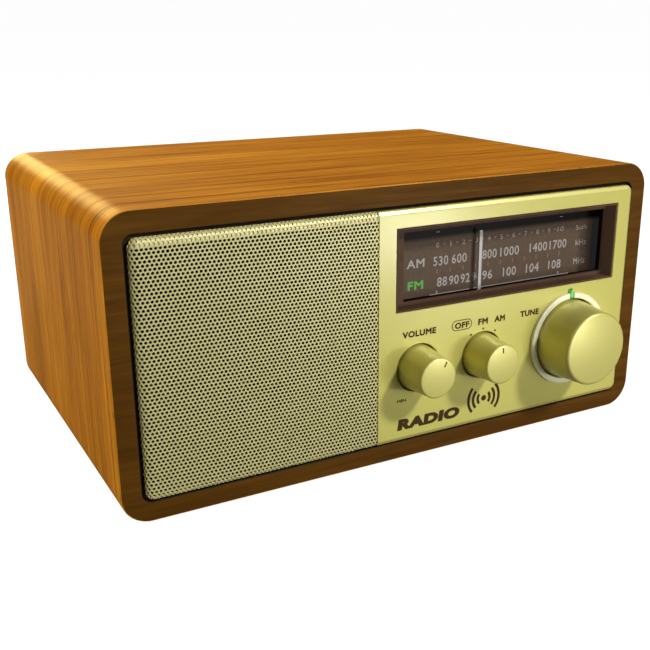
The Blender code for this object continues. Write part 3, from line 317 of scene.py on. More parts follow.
def brown_moulding():
    """The moulding round the dial. A faint painted glow lies over it, brighter towards its right end, where
    it stands in for the dial lamp's light.
    """
    made = speckled(
        "brown_moulding", (0.070, 0.036, 0.019), (0.095, 0.050, 0.028), 2400.0, (0.5, 0.6), 0.00003,
        Specular_IOR_Level=0.15, Emission_Strength=0.3,
    )
    tree = made.node_tree
    mottle = noise_of(tree, coordinates(tree), 900.0)
    tone = ramp(tree, mottle, (0.3, (0.085, 0.050, 0.028)), (0.7, (0.100, 0.060, 0.034)))
    # Painted light: the glow is brightest round the right end of the window, and faint elsewhere.
    lit = band(tree, from_datum(tree).outputs["X"], 98.0, 110.0, 14.0)
    painted_glow_elsewhere = (0.012, 0.007, 0.004, 1.0)
    glow = mix(tree, lit, painted_glow_elsewhere, tone)
    tree.links.new(glow, tree.nodes["Principled BSDF"].inputs["Emission Color"])
    return made


def ink(name, color, glow=0.0):
    """Printing ink with a slightly uneven lay-down. A legend given glow glows: the lit FM has its lamp,
    while on the dial's pale and dim print the glow is painted light.
    """
    made, tree, shader = start(name, Emission_Strength=glow, Roughness=0.6, Specular_IOR_Level=0.1)
    shade = noise_of(tree, coordinates(tree), 2500.0, 2.0)
    faint = tuple(0.86 * c for c in color)
    tone = ramp(tree, shade, (0.35, faint), (0.65, color))
    tree.links.new(tone, shader.inputs["Base Color"])
    if glow:
        tree.links.new(tone, shader.inputs["Emission Color"])
    return made


def weave(name, color, scale):
    """A plain woven cloth: crossed waves for the threads, noise for their unevenness."""
    made, tree, shader = start(name, Roughness=0.9)
    vector = coordinates(tree)
    waves = []
    for direction in ("X", "Z"):
        settings = {"wave_type": "BANDS", "bands_direction": direction}
        wave = node(tree, "TexWave", settings, Vector=vector, Scale=scale, Distortion=0.4)
        waves.append(wave.outputs["Fac"])
    threads = mix(tree, 0.5, waves[0], waves[1])
    shade = mix(tree, 0.3, threads, noise_of(tree, vector, scale * 2, 2.0))
    dark = tuple(0.5 * c for c in color)
    tree.links.new(ramp(tree, shade, (0.3, dark), (0.7, color)), shader.inputs["Base Color"])
    bump(tree, shader, threads, 0.5, 0.0001)
    return made


def green_glass():
    """Translucent green plastic with a lamp behind it."""
    made, tree, shader = start(
        "green_glass", Roughness=0.22, Transmission_Weight=0.1, IOR=1.49, Emission_Strength=0.25
    )
    glow = noise_of(tree, coordinates(tree), 700.0, 2.0)
    tone = ramp(tree, glow, (0.35, (0.12, 0.46, 0.11)), (0.65, (0.20, 0.60, 0.18)))
    tree.links.new(tone, shader.inputs["Base Color"])
    tree.links.new(tone, shader.inputs["Emission Color"])
    return made


MATERIALS = {
    "veneer": veneer(),
    "rim_wood": rim_wood(),
    "champagne": champagne("champagne", (0.580, 0.530, 0.118), (0.650, 0.600, 0.150)),
    "champagne_turned": champagne(
        "champagne_turned", (0.640, 0.585, 0.150), (0.710, 0.655, 0.190),
        metallic=0.35, coat_roughness=0.34, rings=True,
    ),
    "ring_metal": champagne(
        "ring_metal", (0.92, 0.90, 0.62), (0.96, 0.94, 0.68), coat_roughness=0.3, rings=True
    ),
    "grille": speckled(
        "grille_paint", (0.620, 0.568, 0.250), (0.700, 0.648, 0.300), 3000.0, (0.38, 0.46), 0.00002,
        Metallic=0.15,
    ),
    "cloth": weave("black_cloth", (0.018, 0.017, 0.012), 1600.0),
    "brown": brown_moulding(),
    "dial": dial_brown(),
    "pointer": speckled(
        "pointer_grey", (0.42, 0.42, 0.40), (0.50, 0.50, 0.48), 1500.0, (0.3, 0.4), 0.00001
    ),
    "ink_brown": ink("ink_brown", (0.060, 0.033, 0.009)),
    # The dial's pale and dim print glow faintly: painted light.
    "ink_pale": ink("ink_pale", (0.42, 0.39, 0.36), glow=0.03),
    "ink_dim": ink("ink_dim", (0.34, 0.31, 0.28), glow=0.05),
    "ink_orange": ink("ink_orange", (0.30, 0.17, 0.11)),
    "ink_green": ink("ink_green", (0.11, 0.40, 0.07), glow=0.15),
    "ink_white": ink("ink_white", (0.60, 0.60, 0.58)),
    "lens": green_glass(),
    "black": speckled(
        "black_moulding", (0.014, 0.014, 0.014), (0.020, 0.020, 0.020), 1800.0, (0.46, 0.56), 0.00006
    ),
    "reveal": speckled(
        "brown_reveal", (0.030, 0.018, 0.009), (0.042, 0.026, 0.013), 1500.0, (0.8, 0.9), 0.00003,
        Specular_IOR_Level=0.1,
    ),
    "rubber": speckled(
        "foot_rubber", (0.012, 0.012, 0.012), (0.022, 0.021, 0.020), 1200.0, (0.7, 0.85), 0.00005
    ),
    "steel": speckled(
        "plated_steel", (0.50, 0.50, 0.48), (0.66, 0.66, 0.63), 1400.0, (0.24, 0.38), 0.00002,
        stretch=(1, 1, 0.05), Metallic=1.0,
    ),
    "board": speckled("solder_mask", (0.015, 0.10, 0.03), (0.03, 0.16, 0.05), 900.0, (0.3, 0.5), 0.00003),
    "nylon": speckled("nylon", (0.62, 0.61, 0.55), (0.75, 0.74, 0.68), 800.0, (0.45, 0.6), 0.00003),
    "cord": weave("cord_braid", (0.50, 0.40, 0.26), 3000.0),
    "paper": speckled("cone_paper", (0.02, 0.02, 0.02), (0.045, 0.043, 0.04), 2600.0, (0.8, 0.95), 0.00012),
    "copper": speckled(
        "wound_copper", (0.50, 0.20, 0.06), (0.72, 0.34, 0.13), 1500.0, (0.25, 0.4), 0.00008,
        stretch=(1, 0.06, 1), Metallic=0.9,
    ),
    "ferrite": speckled(
        "ferrite", (0.045, 0.042, 0.042), (0.075, 0.070, 0.070), 1500.0, (0.5, 0.7), 0.00005
    ),
    "brass": speckled(
        "turned_brass", (0.62, 0.42, 0.14), (0.78, 0.58, 0.25), 1600.0, (0.22, 0.35), 0.00002,
        stretch=(1, 0.1, 1), Metallic=1.0,
    ),
    "batten": speckled(
        "sawn_pine", (0.42, 0.26, 0.12), (0.62, 0.43, 0.23), 260.0, (0.65, 0.8), 0.0002,
        stretch=(1, 1, 0.06),
    ),
}

# The look of each material slot named in the part's record.
SLOT_LOOKS = {
    "walnut": "veneer",
    "batten_wood": "batten",
    "rubber": "rubber",
    "black_plastic": "black",
    "champagne_metal": "champagne",
    "grille_metal": "grille",
    "black_cloth": "cloth",
    "brown_plastic": "brown",
    "dial_plate": "dial",
    "pointer_plastic": "pointer",
    "green_lens": "lens",
    "plated_steel": "steel",
    "circuit_board": "board",
    "white_nylon": "nylon",
    "dial_cord": "cord",
    "cone_paper": "paper",
    "copper_winding": "copper",
    "ferrite": "ferrite",
    "brass_contact": "brass",
}
# Pieces whose look isn't their slot's. The dial lamp board is painted black: painted shade for the dark
# space behind the dial.
NODE_LOOKS = {"dial_lamp_board": "black", "front_frame": "reveal"}
SOFT_EDGE = 0.12 * MM


def dress_frame():
    """Gives every CAD node the look of its slot, and soft edges."""
    slots = {row["node"]: row["material_slot"] for row in frame["record"]["subparts"]}
    for name, obj in NODES.items():
        obj.data.materials.clear()
        obj.data.materials.append(MATERIALS[NODE_LOOKS.get(name, SLOT_LOOKS[slots[name]])])
        soft = obj.modifiers.new("soft_edges", "BEVEL")
        soft.width = SOFT_EDGE
        soft.segments = 2
        soft.limit_method = "ANGLE"
        soft.angle_limit = math.radians(40)


# ---------------------------------------------------------------- mesh helpers


def rounded_outline(left, right, low, high, corner, steps):
    """Points of a rectangle with round corners, anticlockwise, as (x, z)."""
    centres = (
        (right - corner, low + corner, -90),
        (right - corner, high - corner, 0),
        (left + corner, high - corner, 90),
        (left + corner, low + corner, 180),
    )
    points = []
    for x, z, first in centres:
        for i in range(steps + 1):
            angle = math.radians(first + 90 * i / steps)
            points.append((x + corner * math.cos(angle), z + corner * math.sin(angle)))
    return points


def loft(bm, sections, closed=False):
    """Skins (outline, y) sections, one to the next. A loft that isn't closed gets end caps."""
    rings = [[bm.verts.new((x, y, z)) for x, z in outline] for outline, y in sections]
    pairs = list(zip(rings, rings[1:]))
    if closed:
        pairs.append((rings[-1], rings[0]))
    else:
        bm.faces.new(rings[0])
        bm.faces.new(rings[-1][::-1])
    count = len(rings[0])
    for first, second in pairs:
        for i in range(count):
            j = (i + 1) % count
            bm.faces.new((first[j], first[i], second[i], second[j]))


def turned(bm, profile, centre=(0.0, 0.0), steps=96, closed=False):
    """A solid turned about an axis along Y, from (radius, y) points. Its map's v runs along the profile."""
    uv = bm.loops.layers.uv.get("turned") or bm.loops.layers.uv.new("turned")
    angles = [2 * math.pi * i / steps for i in range(steps)]
    rings, lengths, length = [], [], 0.0
    for k, (radius, y) in enumerate(profile):
        if k:
            length += math.hypot(radius - profile[k - 1][0], y - profile[k - 1][1])
        lengths.append(length)
        if radius == 0.0:
            rings.append([bm.verts.new((centre[0], y, centre[1]))])
            continue
        circle = [(centre[0] + radius * math.sin(a), y, centre[1] + radius * math.cos(a)) for a in angles]
        rings.append([bm.verts.new(point) for point in circle])
    spans = [(k, k + 1) for k in range(len(rings) - 1)]
    if closed:
        spans.append((len(rings) - 1, 0))
    for a, b in spans:
        for i in range(steps):
            j = (i + 1) % steps
            corners = {}
            for row, column in ((a, i), (b, i), (b, j), (a, j)):
                ring = rings[row]
                corners.setdefault(ring[column % len(ring)], lengths[row])
            face = bm.faces.new(list(corners))
            for loop in face.loops:
                loop[uv].uv = (0.0, corners[loop.vert])


def add_box(bm, low, high):
    """Adds a box to bm, from its lowest corner to its highest."""
    size = [b - a for a, b in zip(low, high)]
    middle = [(a + b) / 2 for a, b in zip(low, high)]
    bmesh.ops.create_cube(bm, size=1.0, matrix=Matrix.Translation(middle) @ Matrix.Diagonal((*size, 1.0)))


def piece(name, bm, look, body="cabinet", replaces=None, sharp=35):
    """Makes bm, whose points are measured from the datum, into a shown piece that rides on a body."""
    bmesh.ops.recalc_face_normals(bm, faces=bm.faces)
    mesh = bpy.data.meshes.new(name)
    bm.to_mesh(mesh)
    bm.free()
    mesh.transform(TO_DATUM)
    mesh.shade_smooth()
    mesh.set_sharp_from_angle(angle=math.radians(sharp))
    mesh.materials.append(MATERIALS[look])
    made = bpy.data.objects.new(name, mesh)
    bpy.context.scene.collection.objects.link(made)
    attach(made, body)
    if replaces:
        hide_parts(replaces)
    return made


def even_normals(made):
    """Keeps big flat faces flat beside narrow rounded ones."""
    modifier = made.modifiers.new("even_normals", "WEIGHTED_NORMAL")
    modifier.keep_sharp = True
    modifier.weight = 100


def carve(made, bm, look=None):
    """Cuts bm out of a piece for good. The cut's faces can have a look of their own."""
    bmesh.ops.recalc_face_normals(bm, faces=bm.faces)
    mesh = bpy.data.meshes.new("cutter")
    bm.to_mesh(mesh)
    bm.free()
    mesh.transform(TO_DATUM)
    mesh.materials.append(MATERIALS[look] if look else made.data.materials[0])
    cutter = bpy.data.objects.new("cutter", mesh)
    bpy.context.scene.collection.objects.link(cutter)
    modifier = made.modifiers.new("cut", "BOOLEAN")
    modifier.operation = "DIFFERENCE"
    modifier.object = cutter
    modifier.solver = "EXACT"
    modifier.material_mode = "TRANSFER"
    evaluated = made.evaluated_get(bpy.context.evaluated_depsgraph_get())
    result = bpy.data.meshes.new_from_object(evaluated)
    made.modifiers.clear()
    made.data = result
    result.name = made.name
    result.shade_smooth()
    result.set_sharp_from_angle(angle=math.radians(35))
    bpy.data.objects.remove(cutter)


# ---------------------------------------------------------------- cabinet


def build_cabinet():
    """The sleeve: veneer outside, dark rims front and rear, and a shaded brown lining."""
    half = WIDTH / 2
    edge = 0.35 * MM

    def outer(inset):
        return rounded_outline(
            -half + inset, half - inset, inset, HEIGHT - inset, CASE_CORNER - inset, steps=20
        )

    def inner(grow):
        side = half - CASE_WALL + grow
        return rounded_outline(
            -side, side, CASE_FLOOR - grow, CASE_CEILING + grow, CASE_INNER_CORNER + grow, steps=20
        )

    bend = edge * (1 - math.sqrt(0.5))
    sections = [
        (outer(edge), 0.0),
        (outer(bend), bend),
        (outer(0.0), edge),
        (outer(0.0), DEPTH - edge),
        (outer(bend), DEPTH - bend),
        (outer(edge), DEPTH),
        (inner(edge), DEPTH),
        (inner(0.0), DEPTH - edge),
        (inner(0.0), edge),
        (inner(edge), 0.0),
    ]
    # The look of the band after each section: 0 veneer, 1 rim wood, 2 lining.
    looks = (0, 0, 0, 0, 0, 1, 2, 2, 2, 1)
    bm = bmesh.new()
    loft(bm, sections, closed=True)
    grain = bm.loops.layers.uv.new("grain")
    outline = outer(0.0)
    lengths = [0.0]
    for (x0, z0), (x1, z1) in zip(outline, outline[1:] + outline[:1]):
        lengths.append(lengths[-1] + math.hypot(x1 - x0, z1 - z0))
    count = len(outline)
    for index, face in enumerate(bm.faces):
        i = index % count
        for corner, loop in enumerate(face.loops):
            along = lengths[i + 1] if corner in (0, 3) else lengths[i]
            loop[grain].uv = (along, loop.vert.co.y)
        face.material_index = looks[index // count]
    made = piece("cabinet_veneer", bm, "veneer", replaces="cabinet_shell", sharp=50)
    made.data.materials.append(MATERIALS["rim_wood"])
    made.data.materials.append(MATERIALS["reveal"])
    even_normals(made)


# ---------------------------------------------------------------- grille


HOLE_PITCH = 1.6 * MM
HOLE_RADIUS = 0.61 * MM
HOLE_SIDES = 8
# Height of the lattice's row 0 above the tray's lower edge.
FIRST_ROW = 0.7 * MM
SHEET = 0.6 * MM
# The rolled edge is a quarter of an oval this wide and deep, then a short straight skirt.
ROLL_WIDE = 3.0 * MM
ROLL_DEEP = 2.0 * MM
ROLL_LENGTH = math.sqrt((ROLL_WIDE**2 + ROLL_DEEP**2) / 2)
SKIRT = 0.5 * MM
# How far the face stays flat past its square-cornered middle.
FLAT_CORNER = 0.3 * MM
ROLL_END = FLAT_CORNER + ROLL_LENGTH * math.pi / 2
# The hem: how far down it reaches, how far it stops short of the sheet's left edge, its depth behind
# the face, and its grid.
HEM = 3.6 * MM
HEM_SHORT = 0.3 * MM
HEM_FRONT = 0.4 * MM
HEM_BACK = SHEET + 0.3 * MM
HEM_COLUMNS, HEM_ROWS = 60, 9


def past_flat(u, v):
    """The nearest point of the sheet's square-cornered middle, and how far (u, v) lies from it."""
    inset = ROLL_WIDE + FLAT_CORNER
    cu = max(u, GRILLE_LOW.x + inset)
    cv = min(max(v, GRILLE_LOW.z + inset), GRILLE_HIGH.z - inset)
    return cu, cv, math.hypot(u - cu, v - cv)


def bend_sheet(u, v, depth):
    """Where a point of the flat sheet goes once its left, top and bottom edges are rolled back."""
    cu, cv, away = past_flat(u, v)
    if away <= FLAT_CORNER:
        return Vector((u, FACE_Y + depth, v))
    over = away - FLAT_CORNER
    turn = min(over / ROLL_LENGTH, math.pi / 2)
    straight = min(max(over - ROLL_LENGTH * math.pi / 2, 0.0), SKIRT)
    reach = FLAT_CORNER + (ROLL_WIDE - depth) * math.sin(turn)
    y = FACE_Y + ROLL_DEEP - (ROLL_DEEP - depth) * math.cos(turn) + straight
    return Vector((cu + (u - cu) / away * reach, y, cv + (v - cv) / away * reach))


def strip_triangles(outer, inner):
    """Triangles between a cell's corners and its hole's, given as two rows of rising angles.

    Corners are numbered along the outer row, then on along the inner one. A full turn ends where it starts.
    """
    closed = outer[-1] - outer[0] == 360
    count = len(outer) - closed
    holes = len(inner) - closed
    triangles, a, b = [], 0, 0
    while a < len(outer) - 1 or b < len(inner) - 1:
        if b == len(inner) - 1 or (a < len(outer) - 1 and outer[a + 1] <= inner[b + 1]):
            triangles.append((a, (a + 1) % count, count + b % holes))
            a += 1
        else:
            triangles.append((a % count, count + (b + 1) % holes, count + b))
            b += 1
    return triangles


def thicken(flat, faces, front, back, points, skin):
    """Adds a closed shell to points and skin: faces over flat (u, v) points, bent at two depths."""
    base, count = len(points), len(flat)
    points += [bend_sheet(u, v, depth) for depth in (front, back) for u, v in flat]
    edges = {edge: True for face in faces for edge in zip(face, face[1:] + face[:1])}
    shell = faces + [[k + count for k in reversed(face)] for face in faces]
    shell += [[b, a, a + count, b + count] for a, b in edges if (b, a) not in edges]
    skin += [[k + base for k in face] for face in shell]


def lattice(right):
    """The flat perforated sheet: six-sided cells, each with a round hole. At right the holes are halved."""
    row_step = HOLE_PITCH * math.sqrt(3) / 2
    arm = HOLE_PITCH / math.sqrt(3)
    columns = int((right - GRILLE_LOW.x) / HOLE_PITCH) + 4
    rows = int((GRILLE_HIGH.z - GRILLE_LOW.z) / row_step) + 4
    whole = (list(range(30, 391, 60)), list(range(30, 391, 360 // HOLE_SIDES)))
    halved = ([90, 150, 210, 270], [90, 135, 180, 225, 270])
    flat, index_of, faces = [], {}, []

    def corner(place):
        """The number of a cell corner, which neighbouring cells share."""
        key = tuple(round(value / (0.01 * MM)) for value in place)
        if key not in index_of:
            index_of[key] = len(flat)
            flat.append(place)
        return index_of[key]

    def spot(u, v, radius, angle):
        """A point at this angle, in degrees, round (u, v)."""
        return u + radius * math.cos(math.radians(angle)), v + radius * math.sin(math.radians(angle))

    for row in range(-2, rows):
        v = GRILLE_LOW.z + row * row_step + FIRST_ROW
        for column in range(columns):
            u = right - (column + 0.5 * (1 - row % 2)) * HOLE_PITCH
            if past_flat(u, v)[2] > ROLL_END:
                continue
            cell, hole = halved if u == right else whole
            closed = cell is whole[0]
            local = [corner(spot(u, v, arm, angle)) for angle in cell[: len(cell) - closed]]
            for angle in hole[: len(hole) - closed]:
                local.append(len(flat))
                flat.append(spot(u, v, HOLE_RADIUS, angle))
            faces += [[local[k] for k in triangle] for triangle in strip_triangles(cell, hole)]
    return flat, faces


def hem(right):
    """The flat strip behind the sheet's top edge."""
    left = GRILLE_LOW.x + ROLL_WIDE + FLAT_CORNER
    top = GRILLE_HIGH.z - ROLL_WIDE - FLAT_CORNER
    low = GRILLE_HIGH.z - HEM
    width = right - left + ROLL_END - HEM_SHORT
    flat, faces = [], []
    for i in range(HEM_COLUMNS):
        u = right - width * (1 - i / (HEM_COLUMNS - 1))
        high = top + math.sqrt(ROLL_END**2 - max(left - u, 0.0) ** 2)
        flat += [(u, low + (high - low) * k / (HEM_ROWS - 1)) for k in range(HEM_ROWS)]
    for i in range(HEM_COLUMNS - 1):
        for k in range(i * HEM_ROWS, i * HEM_ROWS + HEM_ROWS - 1):
            faces.append([k, k + HEM_ROWS, k + HEM_ROWS + 1, k + 1])
    return flat, faces


def build_grille():
    """The perforated tray. Its top edge is folded back, so the topmost holes end blind in the hem."""
    points, skin = [], []
    thicken(*lattice(GRILLE_HIGH.x), 0.0, SHEET, points, skin)
    thicken(*hem(GRILLE_HIGH.x), HEM_FRONT, HEM_BACK, points, skin)
    mesh = bpy.data.meshes.new("perforated_grille")
    mesh.from_pydata(points, [], skin)
    mesh.validate()
    bm = bmesh.new()
    bm.from_mesh(mesh)
    bpy.data.meshes.remove(mesh)
    piece("perforated_grille", bm, "grille", replaces="speaker_grille", sharp=50)


# ---------------------------------------------------------------- faceplate


def rounded_edge(outline_at, y_front, radius):
    """Sections of an outline whose front edge is rounded: outline_at(inset) gives the outline."""
    sections = []
    for k in range(7):
        angle = math.radians(90 * k / 6)
        inset = radius * (1 - math.sin(angle))
        sections.append((outline_at(inset), y_front + radius * (1 - math.cos(angle))))
    return sections


def eased_edge(outline_at, y_front):
    """Sections of an outline whose front edge is eased: a shallow chamfer between two round bends."""
    first, straight, last = 1.0 * MM, 1.2 * MM, 0.8 * MM
    slope = math.radians(29)
    width = first * math.sin(slope) + straight * math.cos(slope) + last * (1 - math.sin(slope))
    sections = []
    for k in range(4):
        angle = slope * k / 3
        inset = width - first * math.sin(angle)
        sections.append((outline_at(inset), y_front + first * (1 - math.cos(angle))))
    depth = first * (1 - math.cos(slope)) + straight * math.sin(slope)
    for k in range(5):
        angle = slope + (math.pi / 2 - slope) * k / 4
        drop = last * (math.cos(slope) - math.cos(angle))
        sections.append((outline_at(last * (1 - math.sin(angle))), y_front + depth + drop))
    return sections


SMALL_HOLE = 10.1 * MM
LARGE_HOLE = 18.9 * MM
# The slot above the tuning knob where the lens shows: half its width, and its lower end above the axis.
SLOT_HALF = 1.25 * MM
SLOT_LOW = 16 * MM
# How far a cutter starts in front of a surface, and how far it goes on behind the panel's face.
CLEAR = 2 * MM
THROUGH = 6 * MM


def round_hole(bm, axis, radius):
    """Adds a cutter for a hole with a chamfered front edge."""
    chamfer = 0.25 * MM
    profile = [
        (0.0, FACE_Y - CLEAR),
        (radius + chamfer + CLEAR, FACE_Y - CLEAR),
        (radius + chamfer, FACE_Y),
        (radius, FACE_Y + chamfer),
        (radius, FACE_Y + THROUGH),
        (0.0, FACE_Y + THROUGH),
    ]
    turned(bm, profile, axis, steps=96)


def lens_slot(front, back, top):
    """A cutter for the lens's slot, up to top above the tuning knob's axis."""
    x, z = TUNING_AXIS
    bm = bmesh.new()
    add_box(bm, (x - SLOT_HALF, front, z + SLOT_LOW), (x + SLOT_HALF, back, z + top))
    return bm


def build_faceplate():
    """The panel, with a straight left edge, the dial window, three knob holes and the lens's slot."""
    left, right = FACE_LOW.x, FACE_HIGH.x
    spare = 8 * MM

    def outline(inset):
        return rounded_outline(
            left - spare + inset, right - inset, FACE_LOW.z + inset, FACE_HIGH.z - inset,
            PANEL_CORNER - inset, steps=10,
        )

    bm = bmesh.new()
    loft(bm, eased_edge(outline, FACE_Y) + [(outline(0.0), FACE_HIGH.y)])
    made = piece("faceplate_panel", bm, "champagne", replaces="faceplate")
    bm = bmesh.new()
    add_box(bm, (left - 2 * spare, FACE_Y - spare, -spare), (left, FACE_HIGH.y + spare, HEIGHT + spare))
    carve(made, bm)

    def window(grow):
        return rounded_outline(
            WINDOW_LEFT - grow, WINDOW_RIGHT + grow, WINDOW_LOW - grow, WINDOW_HIGH + grow,
            WINDOW_CORNER + grow, steps=3,
        )

    chamfer = 0.2 * MM
    bm = bmesh.new()
    loft(
        bm,
        [
            (window(chamfer + CLEAR), FACE_Y - CLEAR),
            (window(chamfer), FACE_Y),
            (window(0.0), FACE_Y + chamfer),
            (window(0.0), FACE_Y + THROUGH),
        ],
    )
    carve(made, bm)
    bm = bmesh.new()
    round_hole(bm, VOLUME_AXIS, SMALL_HOLE)
    round_hole(bm, FUNCTION_AXIS, SMALL_HOLE)
    round_hole(bm, TUNING_AXIS, LARGE_HOLE)
    carve(made, bm)
    carve(made, lens_slot(FACE_Y - CLEAR, FACE_Y + THROUGH, 22.2 * MM))
    even_normals(made)


# ---------------------------------------------------------------- controls


KNOB_LIP = 0.4 * MM
BORE_RADIUS = 3.3 * MM
BORE_DEPTH = 5 * MM
# The pointer mark: its half width, length, depth, and distance in from the face's rim.
MARK_HALF = 0.33 * MM
MARK_LONG = 2.3 * MM
MARK_DEEP = 0.35 * MM
MARK_INSET = 1.0 * MM


def knob(name, axis, node_name, body, base, tip, edge, crown, turn=None):
    """A tapered knob, from its radius at the panel (base) to that at its face (tip).

    Its front edge has radius edge, its face dips by crown towards the rim, and turn sets a pointer mark.
    """
    low, high = place_of(node_name)
    front, back = low.y, high.y
    profile = []
    for k in range(7):
        share = k / 6
        profile.append(((tip - edge) * share, front + crown * share * share))
    for k in range(1, 9):
        angle = math.radians(90 * k / 8)
        profile.append((tip - edge + edge * math.sin(angle), front + crown + edge * (1 - math.cos(angle))))
    for k in range(1, 4):
        share = k / 4
        flare = share * share
        radius = tip + (base - tip) * (0.6 * share + 0.4 * flare)
        profile.append((radius, front + edge + (back - front - edge) * share))
    bore_end = front + BORE_DEPTH
    profile += [(base, back - KNOB_LIP), (base - KNOB_LIP, back)]
    profile += [(BORE_RADIUS, back), (BORE_RADIUS, bore_end), (0.0, bore_end)]
    bm = bmesh.new()
    turned(bm, profile, axis, steps=128)
    made = piece(name, bm, "champagne_turned", body, node_name, sharp=60)
    if turn is not None:
        bm = bmesh.new()
        reach = tip - MARK_INSET
        add_box(
            bm, (-MARK_HALF, front - 1 * MM, reach - MARK_LONG), (MARK_HALF, front + MARK_DEEP, reach)
        )
        bmesh.ops.rotate(bm, cent=(0, 0, 0), matrix=Matrix.Rotation(turn, 3, "Y"), verts=bm.verts)
        bmesh.ops.translate(bm, vec=(axis[0], 0, axis[1]), verts=bm.verts)
        carve(made, bm, "ink_brown")
    even_normals(made)


def build_knobs():
    """The two small knobs have a mark; the tuning knob is plain."""
    small = (9.6 * MM, 8.3 * MM, 0.8 * MM, 0.3 * MM)
    large = (17.6 * MM, 15.9 * MM, 1.3 * MM, 0.8 * MM)
    knob("volume_dial_knob", VOLUME_AXIS, "volume_knob", "volume_control", *small, VOLUME_TURN)
    knob("function_dial_knob", FUNCTION_AXIS, "function_knob", "function_control", *small, FUNCTION_TURN)
    knob("tuning_dial_knob", TUNING_AXIS, "tuning_knob", "tuning_control", *large)


def build_tuning_ring():
    """The pale ring round the tuning knob, stepped to sit in the panel's hole, with a gap for the lens."""
    low, high = place_of("tuning_bezel")
    inner, outer, edge = 18.0 * MM, 20.5 * MM, 0.45 * MM
    wall, seat = inner + 0.6 * MM, FACE_Y - 0.05 * MM
    profile = [(inner, high.y)]
    for centre, first in ((inner + edge, 180), (outer - edge, 90)):
        for k in range(5):
            angle = math.radians(first - 22.5 * k)
            profile.append((centre + edge * math.cos(angle), low.y + edge - edge * math.sin(angle)))
    profile += [(outer, seat), (wall, seat), (wall, high.y)]
    bm = bmesh.new()
    turned(bm, profile, TUNING_AXIS, steps=128, closed=True)
    made = piece("tuning_ring", bm, "ring_metal", "cabinet", "tuning_bezel", sharp=60)
    carve(made, lens_slot(low.y - CLEAR, high.y + CLEAR, 23 * MM))


def slab(node_name, corner, edge, steps):
    """A mesh over a CAD node's box: a plate with round corners and a rounded front edge."""
    low, high = place_of(node_name)

    def outline(inset):
        return rounded_outline(
            low.x + inset, high.x - inset, low.z + inset, high.z - inset, corner - inset, steps
        )

    bm = bmesh.new()
    loft(bm, rounded_edge(outline, low.y, edge) + [(outline(0.0), high.y)])
    return bm


def build_lens():
    """The green lens above the tuning knob."""
    bm = slab("tuning_lens", 0.95 * MM, 0.6 * MM, 8)
    piece("tuning_lamp_lens", bm, "lens", "cabinet", "tuning_lens")


# ---------------------------------------------------------------- lettering


INK_DEPTH = 0.05 * MM


def legend(bm, words, left, right, low, high, y, weight, slant=0.0, behind=False):
    """Adds raised lettering that fills this box (in mm) to bm. Weight thickens it, behind faces the rear."""
    curve = bpy.data.curves.new("words", "FONT")
    curve.body = words
    curve.extrude = 0.01
    curve.bevel_depth = weight
    curve.bevel_resolution = 0
    curve.shear = slant
    curve.resolution_u = 4
    curve.space_character = 1.1
    holder = bpy.data.objects.new("words", curve)
    bpy.context.scene.collection.objects.link(holder)
    mesh = bpy.data.meshes.new_from_object(holder.evaluated_get(bpy.context.evaluated_depsgraph_get()))
    reach = [(min(v.co[k] for v in mesh.vertices), max(v.co[k] for v in mesh.vertices)) for k in range(3)]
    wanted = ((right - left) * MM, (high - low) * MM, INK_DEPTH)
    size = [want / (top - bottom) for want, (bottom, top) in zip(wanted, reach)]
    place = Matrix.Translation((left * MM, y, low * MM))
    if behind:
        place = Matrix.Translation((right * MM, y, low * MM)) @ Matrix.Rotation(math.pi, 4, "Z")
    to_corner = Matrix.Translation((-reach[0][0], -reach[1][0], 0.0))
    mesh.transform(place @ Matrix.Rotation(math.pi / 2, 4, "X") @ Matrix.Diagonal((*size, 1.0)) @ to_corner)
    bm.from_mesh(mesh)
    bpy.data.objects.remove(holder)
    bpy.data.curves.remove(curve)
    bpy.data.meshes.remove(mesh)


def ink_piece(name, bm, look):
    """Makes printed words or marks into one piece."""
    piece(name, bm, look, "cabinet", sharp=30)


def bar(bm, left, right, low, high, y):
    """A flat printed bar, placed in mm."""
    add_box(bm, (left * MM, y - INK_DEPTH / 2, low * MM), (right * MM, y + INK_DEPTH / 2, high * MM))


def ring_outline(bm, left, right, low, high, thickness, y):
    """A thin pill-shaped frame."""
    # A hair under half the height, so that the two end corners don't coincide.
    radius = 0.999 * (high - low) / 2
    back, front = y + INK_DEPTH / 2, y - INK_DEPTH / 2
    outer = rounded_outline(left, right, low, high, radius, 10)
    inner = rounded_outline(
        left + thickness, right - thickness, low + thickness, high - thickness,
        radius - 0.999 * thickness, 10,
    )
    loft(bm, [(outer, front), (outer, back), (inner, back), (inner, front)], closed=True)


def dots(bm, places, radius, y):
    """Small printed discs."""
    front, back = y - INK_DEPTH / 2, y + INK_DEPTH / 2
    for place in places:
        turned(bm, [(0.0, front), (radius, front), (radius, back), (0.0, back)], place, 24)


def wave_emblem(bm, x, z, y):
    """A plain mark for radio waves: a dot with three arcs on each side."""
    thickness = 1.25 * MM
    dots(bm, [(x, z)], 1.25 * MM, y)
    for facing in (0, math.pi):
        for radius in (3.1 * MM, 5.5 * MM, 7.9 * MM):
            angles = [facing + math.radians(-42 + 84 * i / 14) for i in range(15)]
            near, far = radius - thickness / 2, radius + thickness / 2
            outline = [(x + far * math.cos(a), z + far * math.sin(a)) for a in angles]
            outline += [(x + near * math.cos(a), z + near * math.sin(a)) for a in angles[::-1]]
            loft(bm, [(outline, y - INK_DEPTH / 2), (outline, y + INK_DEPTH / 2)])


